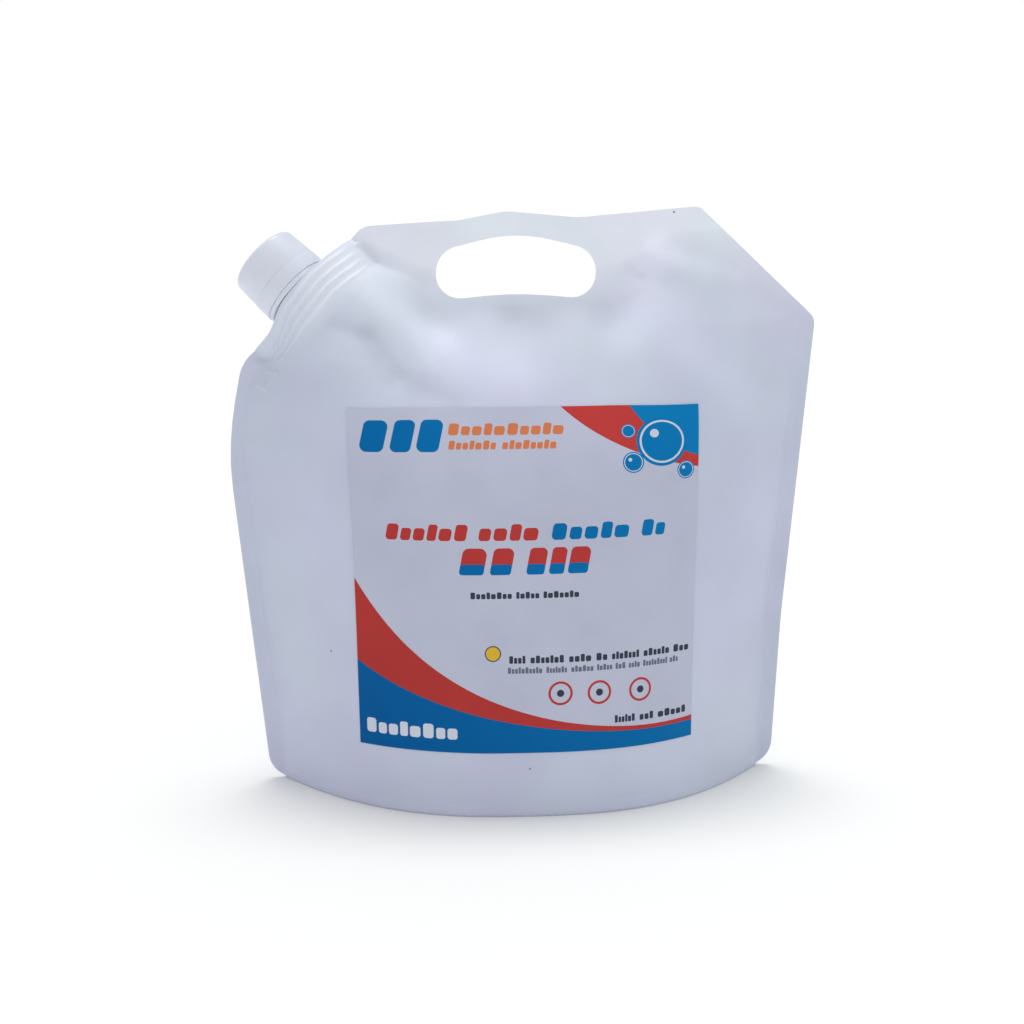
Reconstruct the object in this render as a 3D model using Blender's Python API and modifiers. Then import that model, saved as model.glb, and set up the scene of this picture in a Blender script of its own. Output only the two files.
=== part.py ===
"""Stand-up refill pouch with a hand hole, a welded corner spout, a screw cap and a printed front label.

Lengths are in metres. X runs across the pouch, Y from the front film to the back film, Z up from the floor.
The seam where the two films meet lies in the plane Y = 0, but for the spout's corner, which leans back.
"""
import math

import bmesh
import bpy
from mathutils import Matrix, Vector

# Pouch seam outline: distances from the middle, heights from the floor and drops from the top right corner
POUCH_HEIGHT = 0.3428
BASE_LEFT = 0.1545
BASE_RIGHT = 0.1525
BELLY_LEFT = 0.1755
BELLY_LEFT_DROP = 0.1368
WAIST_RIGHT = 0.1575
WAIST_RIGHT_HEIGHT = 0.095
SHOULDER_LEFT = 0.1680
SHOULDER_LEFT_DROP = 0.0893
SHOULDER_RIGHT = 0.1742
SHOULDER_RIGHT_DROP = 0.0663
TOP_LEFT = 0.0950
TOP_LEFT_DROP = 0.0095
TOP_RIGHT = 0.1040
TOP_RISE_LEFT = 0.0380
TOP_RISE_DROP = 0.0073
TOP_CREST_LEFT = 0.0100
TOP_CREST_DROP = 0.0020
TOP_DIP_RIGHT = 0.0320
TOP_DIP_DROP = 0.0060
FOOT_CORNER_RADIUS = 0.016
BELLY_RADIUS = 0.200
WAIST_RADIUS = 0.400
SHOULDER_LEFT_RADIUS = 0.030
SHOULDER_RIGHT_RADIUS = 0.009
TOP_LEFT_RADIUS = 0.012
TOP_RIGHT_RADIUS = 0.008
TOP_WAVE_RADIUS = 0.030

# Pouch fullness
BASE_DEPTH = 0.168
BELLY_HOLE_GAP = 0.0003
BELLY_RISE_POWER = 5.0
BELLY_FADE_POWER = 1.5
BELLY_SIDE_RISE = 0.022
BELLY_SIDE_REACH = 0.060
BELLY_SIDE_POWER = 2.6
SEAL_WIDTH = 0.008
SEAL_THICKNESS = 0.0010
FILM_THICKNESS = 0.0008

# Hand hole, hung from the band of film above it
HOLE_BAND = 0.0118
HOLE_WIDTH = 0.0940
HOLE_HEIGHT = 0.0402
HOLE_CENTRE_X = -0.0040
HOLE_CREST_RISE = 0.0115
HOLE_FOOT_ARCH = 0.0045
HOLE_FOOT_RADIUS = 0.0140
HOLE_FOOT_ARCH_RADIUS = 0.2000
HOLE_SHOULDER_RADIUS = 0.0155
HOLE_CREST_RADIUS = 0.0850

# Lean of the spout's corner, bent back between two distances from the chamfer edge
CORNER_LEAN = math.radians(20.0)
LEAN_START = 0.060
LEAN_END = 0.026

# Spout weld base, measured along the chamfer, through the pouch and down the spout axis
WELD_LENGTH = 0.080
WELD_DEPTH = 0.040
WELD_TOP = -0.0025
WELD_HEIGHT = 0.0185
WELD_RIB_COUNT = 4
WELD_RIB_WIDTH = 0.0018
WELD_GROOVE_DEPTH = 0.0008
WELD_MARGIN = 0.004
FILM_RIB_RISE = 0.0008
CHANNEL_LENGTH = 0.085
CHANNEL_SPREAD = 0.45
POCKET_CONE_DEPTH = 0.020
POCKET_CONE_RADIUS = 0.009

# Spout neck, heights along the axis from the pouch's chamfer edge
NECK_RADIUS = 0.0189
NECK_TOP = 0.0294
BORE_RADIUS = 0.0159
LIP_ROUNDING = 0.0007
FLANGE_RADIUS = 0.0216
FLANGE_FOOT = 0.0006
FLANGE_THICKNESS = 0.0018
BEAD_RISE = 0.0011
BEAD_HEIGHT = 0.0024

# Screw thread, one start, right-handed
THREAD_LEAD = 0.0060
THREAD_FOOT = 0.0185
THREAD_TURNS = 1.5
THREAD_BEAD = 0.00115
THREAD_RISE = 0.0014
CAP_THREAD_TURNS = 1.1
CAP_THREAD_START_TURN = 0.1
CAP_THREAD_BEAD = 0.0010
CAP_THREAD_RISE = 0.00115

# Tamper ring
RING_FOOT = 0.0046
RING_HEIGHT = 0.0078
RING_RADIUS = 0.0232
RING_WALL = 0.0026
RING_LIP_HEIGHT = 0.0022
RING_EDGE = 0.0004

# Cap and liner
CAP_FOOT = 0.0131
CAP_HEIGHT = 0.0199
CAP_FOOT_RADIUS = 0.0230
CAP_END_RADIUS = 0.0220
CAP_END_ROUNDING = 0.0030
CAP_END_THICKNESS = 0.0018
CAP_FOOT_BEVEL = 0.0004
LINER_THICKNESS = 0.0012

# Label on the front film, measured along the film
LABEL_CENTRE_X = -0.0033
LABEL_FOOT = 0.0385
LABEL_WIDTH = 0.203
LABEL_HEIGHT = 0.200
LABEL_THICKNESS = 0.00025
INK_THICKNESS = 0.00020

# Printed fields: where their edges meet the label's edges, and the point that each edge bends towards
RED_LEFT_HEIGHT = 0.0988
RED_RIGHT_HEIGHT = 0.0125
RED_BEND = (0.062, 0.0045)
BLUE_LEFT_HEIGHT = 0.0507
BLUE_RIGHT_HEIGHT = 0.0098
BLUE_BEND = (0.078, 0.006)
CORNER_RED_WIDTH = 0.0804
CORNER_RED_DROP = 0.0396
CORNER_RED_BEND = (0.053, 0.030)
CORNER_BLUE_WIDTH = 0.0407
CORNER_BLUE_DROP = 0.0327
CORNER_BLUE_BEND = (0.025, 0.026)

# Clearances between pieces that touch, and between printed fields
CLEARANCE = 0.0003
FIELD_GAP = 0.0003
LABEL_CLEARANCE = 0.00045

# Fineness of curves and of the film's grid
ROUND_STEPS = 40
ARC_STEP = math.radians(15.0)
HELIX_STEP = math.radians(15.0)
FILM_FINE_STEP = 0.0068
FILM_COARSE_STEP = 0.0140
FILM_OVERRUN = 0.006
LENS_STEPS = 12
WRAP_STEPS = 20
LABEL_COLUMNS = 15
LABEL_ROWS = 20
CUT_MARGIN = 0.015
CAP_ROUNDING_STEPS = 6
SLOPE_REACH = 0.0005
BEND_STEPS = 12
FIELD_OVERRUN = 0.003
BLEND_POWER = 3.0

FILM_WHITE = (0.80, 0.82, 0.88, 1.0)
CAP_WHITE = (0.86, 0.88, 0.92, 1.0)
LINER_GREY = (0.70, 0.72, 0.74, 1.0)
LABEL_WHITE = (0.74, 0.75, 0.77, 1.0)
INK_RED = (0.42, 0.045, 0.040, 1.0)
INK_BLUE = (0.010, 0.105, 0.330, 1.0)


def clear_scene():
    for item in list(bpy.data.objects):
        bpy.data.objects.remove(item, do_unlink=True)


def make_collection(name):
    collection = bpy.data.collections.new(name)
    bpy.context.scene.collection.children.link(collection)
    return collection


def make_material(name, colour, roughness):
    material = bpy.data.materials.new(name)
    material.use_nodes = True
    shader = material.node_tree.nodes["Principled BSDF"]
    shader.inputs["Base Color"].default_value = colour
    shader.inputs["Roughness"].default_value = roughness
    shader.inputs["Metallic"].default_value = 0.0
    return material


def make_object(name, mesh, collection, material=None):
    item = bpy.data.objects.new(name, mesh)
    collection.objects.link(item)
    if material:
        mesh.materials.append(material)
    return item


def as_mesh(item, collection):
    """Turn a curve or a modified object into a plain welded mesh object of the same name and place."""
    bpy.context.view_layer.update()
    evaluated = item.evaluated_get(bpy.context.evaluated_depsgraph_get())
    mesh = bpy.data.meshes.new_from_object(evaluated)
    name = item.name
    place = item.matrix_world.copy()
    bpy.data.objects.remove(item, do_unlink=True)
    form = bmesh.new()
    form.from_mesh(mesh)
    bmesh.ops.remove_doubles(form, verts=form.verts, dist=0.00001)
    bmesh.ops.recalc_face_normals(form, faces=form.faces)
    form.to_mesh(mesh)
    form.free()
    solid = bpy.data.objects.new(name, mesh)
    collection.objects.link(solid)
    solid.matrix_world = place
    return solid


def mark_cutter(item):
    item.hide_render = True
    item.display_type = "WIRE"
    return item


def combine(item, tool, operation):
    step = item.modifiers.new(operation.title() + " " + tool.name, "BOOLEAN")
    step.operation = operation
    step.solver = "EXACT"
    step.object = tool


def shade_round(item, degrees):
    item.data.shade_smooth()
    item.data.set_sharp_from_angle(angle=math.radians(degrees))


def rounded(corners):
    """Points of a closed outline whose corners (across, up, radius) are rounded by arcs."""
    points = []
    count = len(corners)
    for index, (across, up, radius) in enumerate(corners):
        here = Vector((across, up))
        before = Vector(corners[index - 1][:2])
        after = Vector(corners[(index + 1) % count][:2])
        inward = (here - before).normalized()
        outward = (after - here).normalized()
        turn = inward.angle_signed(outward)
        reach = radius * math.tan(abs(turn) / 2)
        start = here - inward * reach
        normal = Vector((inward.y, -inward.x)) * (1 if turn > 0 else -1)
        centre = start + normal * radius
        steps = max(2, round(abs(turn) / ARC_STEP))
        for step in range(steps + 1):
            spin = Matrix.Rotation(-turn * step / steps, 2)
            points.append(centre + spin @ (start - centre))
    return points


def prism(name, points, depth, place, collection):
    """A solid of a flat outline, extruded equally to both sides of its plane."""
    curve = bpy.data.curves.new(name, "CURVE")
    curve.dimensions = "2D"
    curve.fill_mode = "BOTH"
    curve.extrude = depth / 2
    spline = curve.splines.new("POLY")
    spline.points.add(len(points) - 1)
    for target, (across, up) in zip(spline.points, points):
        target.co = (across, up, 0.0, 1.0)
    spline.use_cyclic_u = True
    item = bpy.data.objects.new(name, curve)
    collection.objects.link(item)
    item.matrix_world = place
    return as_mesh(item, collection)


def turned(name, profile, collection, material):
    """A solid turned about Z from a profile of (radius, height) that ends on the axis or closes."""
    mesh = bpy.data.meshes.new(name)
    form = bmesh.new()
    points = [form.verts.new((radius, 0.0, height)) for radius, height in profile]
    for first, second in zip(points, points[1:]):
        form.edges.new((first, second))
    if profile[0][0] > 0.0:
        form.edges.new((points[-1], points[0]))
    form.to_mesh(mesh)
    form.free()
    item = make_object(name, mesh, collection, material)
    screw = item.modifiers.new("Turn", "SCREW")
    screw.axis = "Z"
    screw.steps = ROUND_STEPS
    screw.render_steps = ROUND_STEPS
    screw.use_merge_vertices = True
    screw.merge_threshold = 0.00001
    return item


def helix_bead(name, radius, foot, first_turn, turns, bead, collection):
    """A round ridge that climbs one thread lead in each turn about Z."""
    curve = bpy.data.curves.new(name, "CURVE")
    curve.dimensions = "3D"
    curve.bevel_depth = bead
    curve.bevel_resolution = 1
    curve.use_fill_caps = True
    count = round(2 * math.pi * turns / HELIX_STEP)
    spline = curve.splines.new("POLY")
    spline.points.add(count)
    for index, target in enumerate(spline.points):
        turn = first_turn + turns * index / count
        angle = 2 * math.pi * turn
        height = foot + THREAD_LEAD * turn
        target.co = (radius * math.cos(angle), radius * math.sin(angle), height, 1.0)
    item = bpy.data.objects.new(name, curve)
    collection.objects.link(item)
    return as_mesh(item, collection)


def cut_depth():
    """Depth of a cutter that passes through the whole pouch from front to back."""
    return BASE_DEPTH + 2 * CUT_MARGIN


def upright():
    """The plane of the seam: an outline's second direction points up and its thickness runs along Y."""
    return Matrix.Rotation(math.pi / 2, 4, "X")


def outline_corners():
    """Corners (x, z, radius) of the flat seam outline, from the bottom left and up the left side."""
    return [
        (-BASE_LEFT, 0.0, FOOT_CORNER_RADIUS),
        (-BELLY_LEFT, POUCH_HEIGHT - BELLY_LEFT_DROP, BELLY_RADIUS),
        (-SHOULDER_LEFT, POUCH_HEIGHT - SHOULDER_LEFT_DROP, SHOULDER_LEFT_RADIUS),
        (-TOP_LEFT, POUCH_HEIGHT - TOP_LEFT_DROP, TOP_LEFT_RADIUS),
        (-TOP_RISE_LEFT, POUCH_HEIGHT - TOP_RISE_DROP, TOP_WAVE_RADIUS),
        (-TOP_CREST_LEFT, POUCH_HEIGHT - TOP_CREST_DROP, TOP_WAVE_RADIUS),
        (TOP_DIP_RIGHT, POUCH_HEIGHT - TOP_DIP_DROP, TOP_WAVE_RADIUS),
        (TOP_RIGHT, POUCH_HEIGHT, TOP_RIGHT_RADIUS),
        (SHOULDER_RIGHT, POUCH_HEIGHT - SHOULDER_RIGHT_DROP, SHOULDER_RIGHT_RADIUS),
        (WAIST_RIGHT, WAIST_RIGHT_HEIGHT, WAIST_RADIUS),
        (BASE_RIGHT, 0.0, FOOT_CORNER_RADIUS),
    ]


def edge_x(height, corners):
    """Where a side of the outline, given as corners from foot to head, stands at a height."""
    height = min(max(height, corners[0][1]), corners[-1][1])
    for (low_x, low_z, _), (high_x, high_z, _) in zip(corners, corners[1:]):
        if height <= high_z:
            return low_x + (high_x - low_x) * (height - low_z) / (high_z - low_z)
    return corners[-1][0]


def left_side():
    return outline_corners()[:4]


def right_side():
    return outline_corners()[:6:-1]


def flat_seat():
    """The middle of the left chamfer of the flat outline."""
    across = -(SHOULDER_LEFT + TOP_LEFT) / 2
    up = POUCH_HEIGHT - (SHOULDER_LEFT_DROP + TOP_LEFT_DROP) / 2
    return Vector((across, 0.0, up))


def flat_directions():
    """Unit vectors of the flat outline, square to each other: out over the left chamfer and up along it."""
    along = Vector((SHOULDER_LEFT - TOP_LEFT, 0.0, SHOULDER_LEFT_DROP - TOP_LEFT_DROP)).normalized()
    out = Vector((-along.z, 0.0, along.x))
    return out, along


def leaned(point):
    """Where a point of the flat pouch lies once the spout's corner is bent back."""
    out, _ = flat_directions()
    past = (point - flat_seat()).dot(out) + LEAN_START
    if past <= 0.0:
        return point.copy()
    zone = LEAN_START - LEAN_END
    radius = zone / CORNER_LEAN
    angle = min(past, zone) / radius
    straight = max(past - zone, 0.0)
    reach = radius * math.sin(angle) + straight * math.cos(angle)
    back = radius * (1 - math.cos(angle)) + straight * math.sin(angle)
    middle = Vector((point.x, back, point.z)) + out * (reach - past)
    through = Vector((0.0, math.cos(angle), 0.0)) - out * math.sin(angle)
    return middle + through * point.y


def placement(seat, axis):
    """Placement whose Z is a spout axis, X runs down the chamfer and Y through the pouch."""
    _, along = flat_directions()
    down = -along
    turn = Matrix((down, axis.cross(down), axis)).transposed()
    return Matrix.Translation(seat) @ turn.to_4x4()


def flat_frame():
    """The spout's placement on the flat pouch."""
    out, _ = flat_directions()
    return placement(flat_seat(), out)


def spout_frame():
    """The spout's placement on the leaning corner."""
    out, _ = flat_directions()
    axis = out * math.cos(CORNER_LEAN) + Vector((0.0, math.sin(CORNER_LEAN), 0.0))
    return placement(leaned(flat_seat()), axis)


def lens_half_depth(distance, half_length, half_depth):
    """Half the thickness of a lens of two arcs at a distance from its middle."""
    if abs(distance) >= half_length:
        return 0.0
    radius = (half_length ** 2 + half_depth ** 2) / (2 * half_depth)
    return math.sqrt(radius ** 2 - distance ** 2) - (radius - half_depth)


def lens_outline(half_length, half_depth):
    points = []
    for side in (1, -1):
        for step in range(LENS_STEPS):
            distance = -side * half_length * math.cos(math.pi * step / LENS_STEPS)
            points.append((distance, -side * lens_half_depth(distance, half_length, half_depth)))
    return points


def hole_crest():
    return POUCH_HEIGHT - TOP_CREST_DROP - HOLE_BAND


def hole_foot():
    return hole_crest() - HOLE_HEIGHT


def belly_top(x):
    """The height where the belly ends: just under the hand hole, and higher to both sides of it."""
    beside = (abs(x - HOLE_CENTRE_X) - HOLE_WIDTH / 2) / BELLY_SIDE_REACH
    share = min(max(beside, 0.0), 1.0)
    return hole_foot() - BELLY_HOLE_GAP + BELLY_SIDE_RISE * share * share * (3 - 2 * share)


def belly_half_depth(x, z):
    """How far the full belly pushes the film out of the seam plane."""
    left = edge_x(z, left_side()) + SEAL_WIDTH
    right = edge_x(z, right_side()) - SEAL_WIDTH
    across = abs(2 * x - left - right) / (right - left)
    rise = min(max(z, 0.0) / belly_top(x), 1.0)
    if across >= 1.0 or rise >= 1.0:
        return 0.0
    crest = BASE_DEPTH / 2 * (1 - rise ** BELLY_RISE_POWER) ** BELLY_FADE_POWER
    return crest * (1 - across ** BELLY_SIDE_POWER)


def channel_half_depth(x, z):
    """How far the film stands out round the weld base and along the channel that leads to it."""
    out, along = flat_directions()
    place = Vector((x, 0.0, z)) - flat_seat()
    inward = max(0.0, -place.dot(out) + WELD_TOP - WELD_HEIGHT)
    half_length = WELD_LENGTH / 2 + WELD_MARGIN + CHANNEL_SPREAD * inward
    half_depth = WELD_DEPTH / 2 + CLEARANCE + FILM_THICKNESS
    fade = min(inward / CHANNEL_LENGTH, 1.0)
    return (1 - fade) * lens_half_depth(place.dot(along), half_length, half_depth)


def film_half_depth(x, z):
    belly = belly_half_depth(x, z)
    channel = channel_half_depth(x, z)
    bulge = (belly ** BLEND_POWER + channel ** BLEND_POWER) ** (1 / BLEND_POWER)
    return SEAL_THICKNESS / 2 + bulge


def graded(start, change, end, first_step, second_step):
    """Grid lines from start to end, with one spacing up to the change and another past it."""
    first = max(1, round((change - start) / first_step))
    second = max(1, round((end - change) / second_step))
    lines = [start + (change - start) * index / first for index in range(first)]
    return lines + [change + (end - change) * index / second for index in range(second + 1)]


def film_grid(columns, rows):
    """The front film as a grid over the seam plane, with its rim turned back to that plane."""
    form = bmesh.new()
    bmesh.ops.create_grid(form, x_segments=len(columns) - 1, y_segments=len(rows) - 1, size=0.5)
    for vertex in form.verts:
        x = columns[round((vertex.co.x + 0.5) * (len(columns) - 1))]
        z = rows[round((vertex.co.y + 0.5) * (len(rows) - 1))]
        vertex.co = (x, -film_half_depth(x, z), z)
    rim = [edge for edge in form.edges if edge.is_boundary]
    turned_back = bmesh.ops.extrude_edge_only(form, edges=rim)["geom"]
    for vertex in turned_back:
        if isinstance(vertex, bmesh.types.BMVert):
            vertex.co.y = 0.0
    return form


def lean_corner(pouch):
    for vertex in pouch.data.vertices:
        vertex.co = leaned(vertex.co)


def build_pouch(parts, cutters, material):
    left = -BELLY_LEFT - FILM_OVERRUN
    right = SHOULDER_RIGHT + FILM_OVERRUN
    columns = graded(left, -TOP_LEFT + WELD_MARGIN, right, FILM_FINE_STEP, FILM_COARSE_STEP)
    fine_from = POUCH_HEIGHT - SHOULDER_LEFT_DROP - WELD_HEIGHT
    head = POUCH_HEIGHT + FILM_OVERRUN
    rows = graded(-FILM_OVERRUN, fine_from, head, FILM_COARSE_STEP, FILM_FINE_STEP)
    form = film_grid(columns, rows)
    mesh = bpy.data.meshes.new("pouch")
    form.to_mesh(mesh)
    form.free()
    pouch = make_object("pouch", mesh, parts, material)
    mirror = pouch.modifiers.new("Back film", "MIRROR")
    mirror.use_axis = (False, True, False)
    mirror.merge_threshold = 0.0001
    outline = prism("seam_outline", rounded(outline_corners()), cut_depth(), upright(), cutters)
    combine(pouch, mark_cutter(outline), "INTERSECT")
    for index, height in enumerate(rib_heights()):
        rib = film_rib("film_rib_%d" % (index + 1), height, cutters)
        combine(pouch, rib, "UNION")
    for tool in (weld_pocket(cutters), channel_cone(cutters), hand_hole(cutters)):
        combine(pouch, tool, "DIFFERENCE")
    pouch = as_mesh(pouch, parts)
    lean_corner(pouch)
    shade_round(pouch, 40)
    return pouch


def rib_heights():
    """Middles of the weld ribs down the spout axis."""
    pitch = (WELD_HEIGHT - WELD_RIB_WIDTH) / (WELD_RIB_COUNT - 1)
    return [WELD_TOP - WELD_RIB_WIDTH / 2 - pitch * index for index in range(WELD_RIB_COUNT)]


def film_rib(name, height, cutters):
    """A weld rib showing through the film: a flat lens a little larger than the film over the weld base."""
    half_length = WELD_LENGTH / 2 + WELD_MARGIN + FILM_RIB_RISE
    half_depth = WELD_DEPTH / 2 + CLEARANCE + FILM_THICKNESS + SEAL_THICKNESS / 2 + FILM_RIB_RISE
    place = flat_frame() @ Matrix.Translation((0.0, 0.0, height))
    outline = lens_outline(half_length, half_depth)
    return mark_cutter(prism(name, outline, WELD_RIB_WIDTH, place, cutters))


def weld_pocket(cutters):
    """Room for the weld base, open through the chamfer edge."""
    foot = WELD_TOP - WELD_HEIGHT - CLEARANCE
    head = FLANGE_FOOT + FILM_OVERRUN
    outline = lens_outline(WELD_LENGTH / 2 + CLEARANCE, WELD_DEPTH / 2 + CLEARANCE)
    place = flat_frame() @ Matrix.Translation((0.0, 0.0, (foot + head) / 2))
    return mark_cutter(prism("weld_pocket", outline, head - foot, place, cutters))


def channel_cone(cutters):
    """The start of the channel below the spout's bore."""
    head = WELD_TOP - WELD_HEIGHT
    profile = [
        (0.0, head),
        (BORE_RADIUS, head),
        (POCKET_CONE_RADIUS, head - POCKET_CONE_DEPTH),
        (0.0, head - POCKET_CONE_DEPTH),
    ]
    cone = turned("channel_cone", profile, cutters, None)
    cone.matrix_world = flat_frame()
    return mark_cutter(cone)


def hand_hole(cutters):
    left = HOLE_CENTRE_X - HOLE_WIDTH / 2
    right = HOLE_CENTRE_X + HOLE_WIDTH / 2
    shoulder = hole_crest() - HOLE_CREST_RISE
    foot = hole_foot()
    corners = [
        (left, foot, HOLE_FOOT_RADIUS),
        (left, shoulder, HOLE_SHOULDER_RADIUS),
        (HOLE_CENTRE_X, hole_crest(), HOLE_CREST_RADIUS),
        (right, shoulder, HOLE_SHOULDER_RADIUS),
        (right, foot, HOLE_FOOT_RADIUS),
        (HOLE_CENTRE_X, foot + HOLE_FOOT_ARCH, HOLE_FOOT_ARCH_RADIUS),
    ]
    return mark_cutter(prism("hand_hole", rounded(corners), cut_depth(), upright(), cutters))


def neck_profile():
    """Outline of flange, retaining bead and neck, from the lip down to the foot of the weld base."""
    bead_foot = RING_FOOT + RING_LIP_HEIGHT + CLEARANCE
    bead = NECK_RADIUS + BEAD_RISE
    flange_head = FLANGE_FOOT + FLANGE_THICKNESS
    foot = WELD_TOP - WELD_HEIGHT + WELD_GROOVE_DEPTH
    return [
        (0.0, NECK_TOP),
        (NECK_RADIUS - LIP_ROUNDING, NECK_TOP),
        (NECK_RADIUS, NECK_TOP - LIP_ROUNDING),
        (NECK_RADIUS, bead_foot + BEAD_HEIGHT),
        (bead, bead_foot + BEAD_HEIGHT / 2),
        (bead, bead_foot),
        (NECK_RADIUS, bead_foot),
        (NECK_RADIUS, flange_head),
        (FLANGE_RADIUS, flange_head),
        (FLANGE_RADIUS, FLANGE_FOOT),
        (NECK_RADIUS, FLANGE_FOOT),
        (NECK_RADIUS, foot),
        (0.0, foot),
    ]


def weld_base(cutters):
    """The boat-shaped core that is welded between the films, and the ribs round it."""
    core = prism(
        "weld_core",
        lens_outline(WELD_LENGTH / 2 - WELD_GROOVE_DEPTH, WELD_DEPTH / 2 - WELD_GROOVE_DEPTH),
        WELD_HEIGHT - WELD_GROOVE_DEPTH,
        Matrix.Translation((0.0, 0.0, WELD_TOP - WELD_HEIGHT / 2)),
        cutters,
    )
    pieces = [core]
    for index, height in enumerate(rib_heights()):
        name = "weld_rib_%d" % (index + 1)
        outline = lens_outline(WELD_LENGTH / 2, WELD_DEPTH / 2)
        place = Matrix.Translation((0.0, 0.0, height))
        pieces.append(prism(name, outline, WELD_RIB_WIDTH, place, cutters))
    return pieces


def neck_thread(cutters):
    radius = NECK_RADIUS + THREAD_RISE - THREAD_BEAD
    return helix_bead("neck_thread", radius, THREAD_FOOT, 0.0, THREAD_TURNS, THREAD_BEAD, cutters)


def spout_bore(cutters):
    head = NECK_TOP + CUT_MARGIN
    foot = WELD_TOP - WELD_HEIGHT - CUT_MARGIN
    profile = [(0.0, head), (BORE_RADIUS, head), (BORE_RADIUS, foot), (0.0, foot)]
    return turned("spout_bore", profile, cutters, None)


def build_spout(parts, cutters, material, frame):
    spout = turned("spout", neck_profile(), parts, material)
    joined = weld_base(cutters) + [neck_thread(cutters)]
    for piece in joined:
        combine(spout, piece, "UNION")
    bore = spout_bore(cutters)
    combine(spout, bore, "DIFFERENCE")
    shade_round(spout, 35)
    for piece in joined + [bore]:
        mark_cutter(piece).parent = frame
    spout.parent = frame
    return spout


def build_ring(parts, material, frame):
    head = RING_FOOT + RING_HEIGHT
    inner = RING_RADIUS - RING_WALL
    lip = NECK_RADIUS + CLEARANCE
    lip_head = RING_FOOT + RING_LIP_HEIGHT
    profile = [
        (RING_RADIUS - RING_EDGE, head),
        (RING_RADIUS, head - RING_EDGE),
        (RING_RADIUS, RING_FOOT + RING_EDGE),
        (RING_RADIUS - RING_EDGE, RING_FOOT),
        (lip, RING_FOOT),
        (lip, lip_head),
        (inner, lip_head),
        (inner, head),
    ]
    ring = turned("tamper_ring", profile, parts, material)
    shade_round(ring, 35)
    ring.parent = frame
    return ring


def cap_bore_radius():
    return NECK_RADIUS + THREAD_RISE + CLEARANCE


def build_cap(parts, cutters, material, frame):
    head = CAP_FOOT + CAP_HEIGHT
    roof = head - CAP_END_THICKNESS
    bore = cap_bore_radius()
    rim = [(0.0, head)]
    for step in range(CAP_ROUNDING_STEPS + 1):
        angle = math.pi / 2 * (1 - step / CAP_ROUNDING_STEPS)
        rim.append((
            CAP_END_RADIUS - CAP_END_ROUNDING + CAP_END_ROUNDING * math.cos(angle),
            head - CAP_END_ROUNDING + CAP_END_ROUNDING * math.sin(angle),
        ))
    skirt = [
        (CAP_FOOT_RADIUS, CAP_FOOT + CAP_FOOT_BEVEL),
        (CAP_FOOT_RADIUS - CAP_FOOT_BEVEL, CAP_FOOT),
        (bore, CAP_FOOT),
        (bore, roof),
        (0.0, roof),
    ]
    cap = turned("cap", rim + skirt, parts, material)
    thread_radius = bore - CAP_THREAD_RISE + CAP_THREAD_BEAD
    thread = helix_bead(
        "cap_thread",
        thread_radius,
        THREAD_FOOT - THREAD_LEAD / 2,
        CAP_THREAD_START_TURN,
        CAP_THREAD_TURNS,
        CAP_THREAD_BEAD,
        cutters,
    )
    mark_cutter(thread)
    combine(cap, thread, "UNION")
    shade_round(cap, 35)
    cap.parent = frame
    thread.parent = frame
    return cap


def build_liner(parts, material, frame):
    roof = CAP_FOOT + CAP_HEIGHT - CAP_END_THICKNESS
    radius = cap_bore_radius() - CLEARANCE
    bpy.ops.mesh.primitive_cylinder_add(vertices=ROUND_STEPS, radius=radius, depth=LINER_THICKNESS)
    liner = bpy.context.active_object
    liner.name = "cap_liner"
    liner.data.name = "cap_liner"
    liner.location = (0.0, 0.0, roof - CLEARANCE - LINER_THICKNESS / 2)
    for collection in list(liner.users_collection):
        collection.objects.unlink(liner)
    parts.objects.link(liner)
    liner.data.materials.append(material)
    shade_round(liner, 35)
    liner.parent = frame
    return liner


def film_slope(x, z, direction_x, direction_z):
    ahead = film_half_depth(x + direction_x * SLOPE_REACH, z + direction_z * SLOPE_REACH)
    return (ahead - film_half_depth(x, z)) / SLOPE_REACH


def on_front(across, up):
    """The place (x, z) on the front film, from a distance across and up measured along the film."""
    z = LABEL_FOOT
    for _ in range(WRAP_STEPS):
        z += up / WRAP_STEPS / math.hypot(1.0, film_slope(LABEL_CENTRE_X, z, 0, 1))
    x = LABEL_CENTRE_X
    for _ in range(WRAP_STEPS):
        x += across / WRAP_STEPS / math.hypot(1.0, film_slope(x, z, 1, 0))
    return x, z


def front_point(x, z, lift):
    """A point lifted off the front film along the film's normal."""
    normal = Vector((-film_slope(x, z, 1, 0), -1.0, -film_slope(x, z, 0, 1))).normalized()
    return Vector((x, -film_half_depth(x, z), z)) + normal * lift


def label_sheet(name, lift, thickness, collection, material):
    """A thin sheet over the whole label area that follows the film."""
    form = bmesh.new()
    bmesh.ops.create_grid(form, x_segments=LABEL_COLUMNS, y_segments=LABEL_ROWS, size=0.5)
    for vertex in form.verts:
        x, z = on_front(vertex.co.x * LABEL_WIDTH, (vertex.co.y + 0.5) * LABEL_HEIGHT)
        vertex.co = leaned(front_point(x, z, lift))
    mesh = bpy.data.meshes.new(name)
    form.to_mesh(mesh)
    form.free()
    sheet = make_object(name, mesh, collection, material)
    solid = sheet.modifiers.new("Sheet", "SOLIDIFY")
    solid.thickness = thickness
    solid.offset = 1.0
    return sheet


def build_label(parts, material):
    label = label_sheet("label", LABEL_CLEARANCE, LABEL_THICKNESS, parts, material)
    shade_round(label, 40)
    return label


def bend(first, control, second):
    """Points of an edge from first to second that leaves and arrives heading for the control point."""
    points = []
    for step in range(BEND_STEPS + 1):
        share = step / BEND_STEPS
        weights = ((1 - share) ** 2, 2 * share * (1 - share), share ** 2)
        across = sum(weight * point[0] for weight, point in zip(weights, (first, control, second)))
        up = sum(weight * point[1] for weight, point in zip(weights, (first, control, second)))
        points.append((across, up))
    return points


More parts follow.
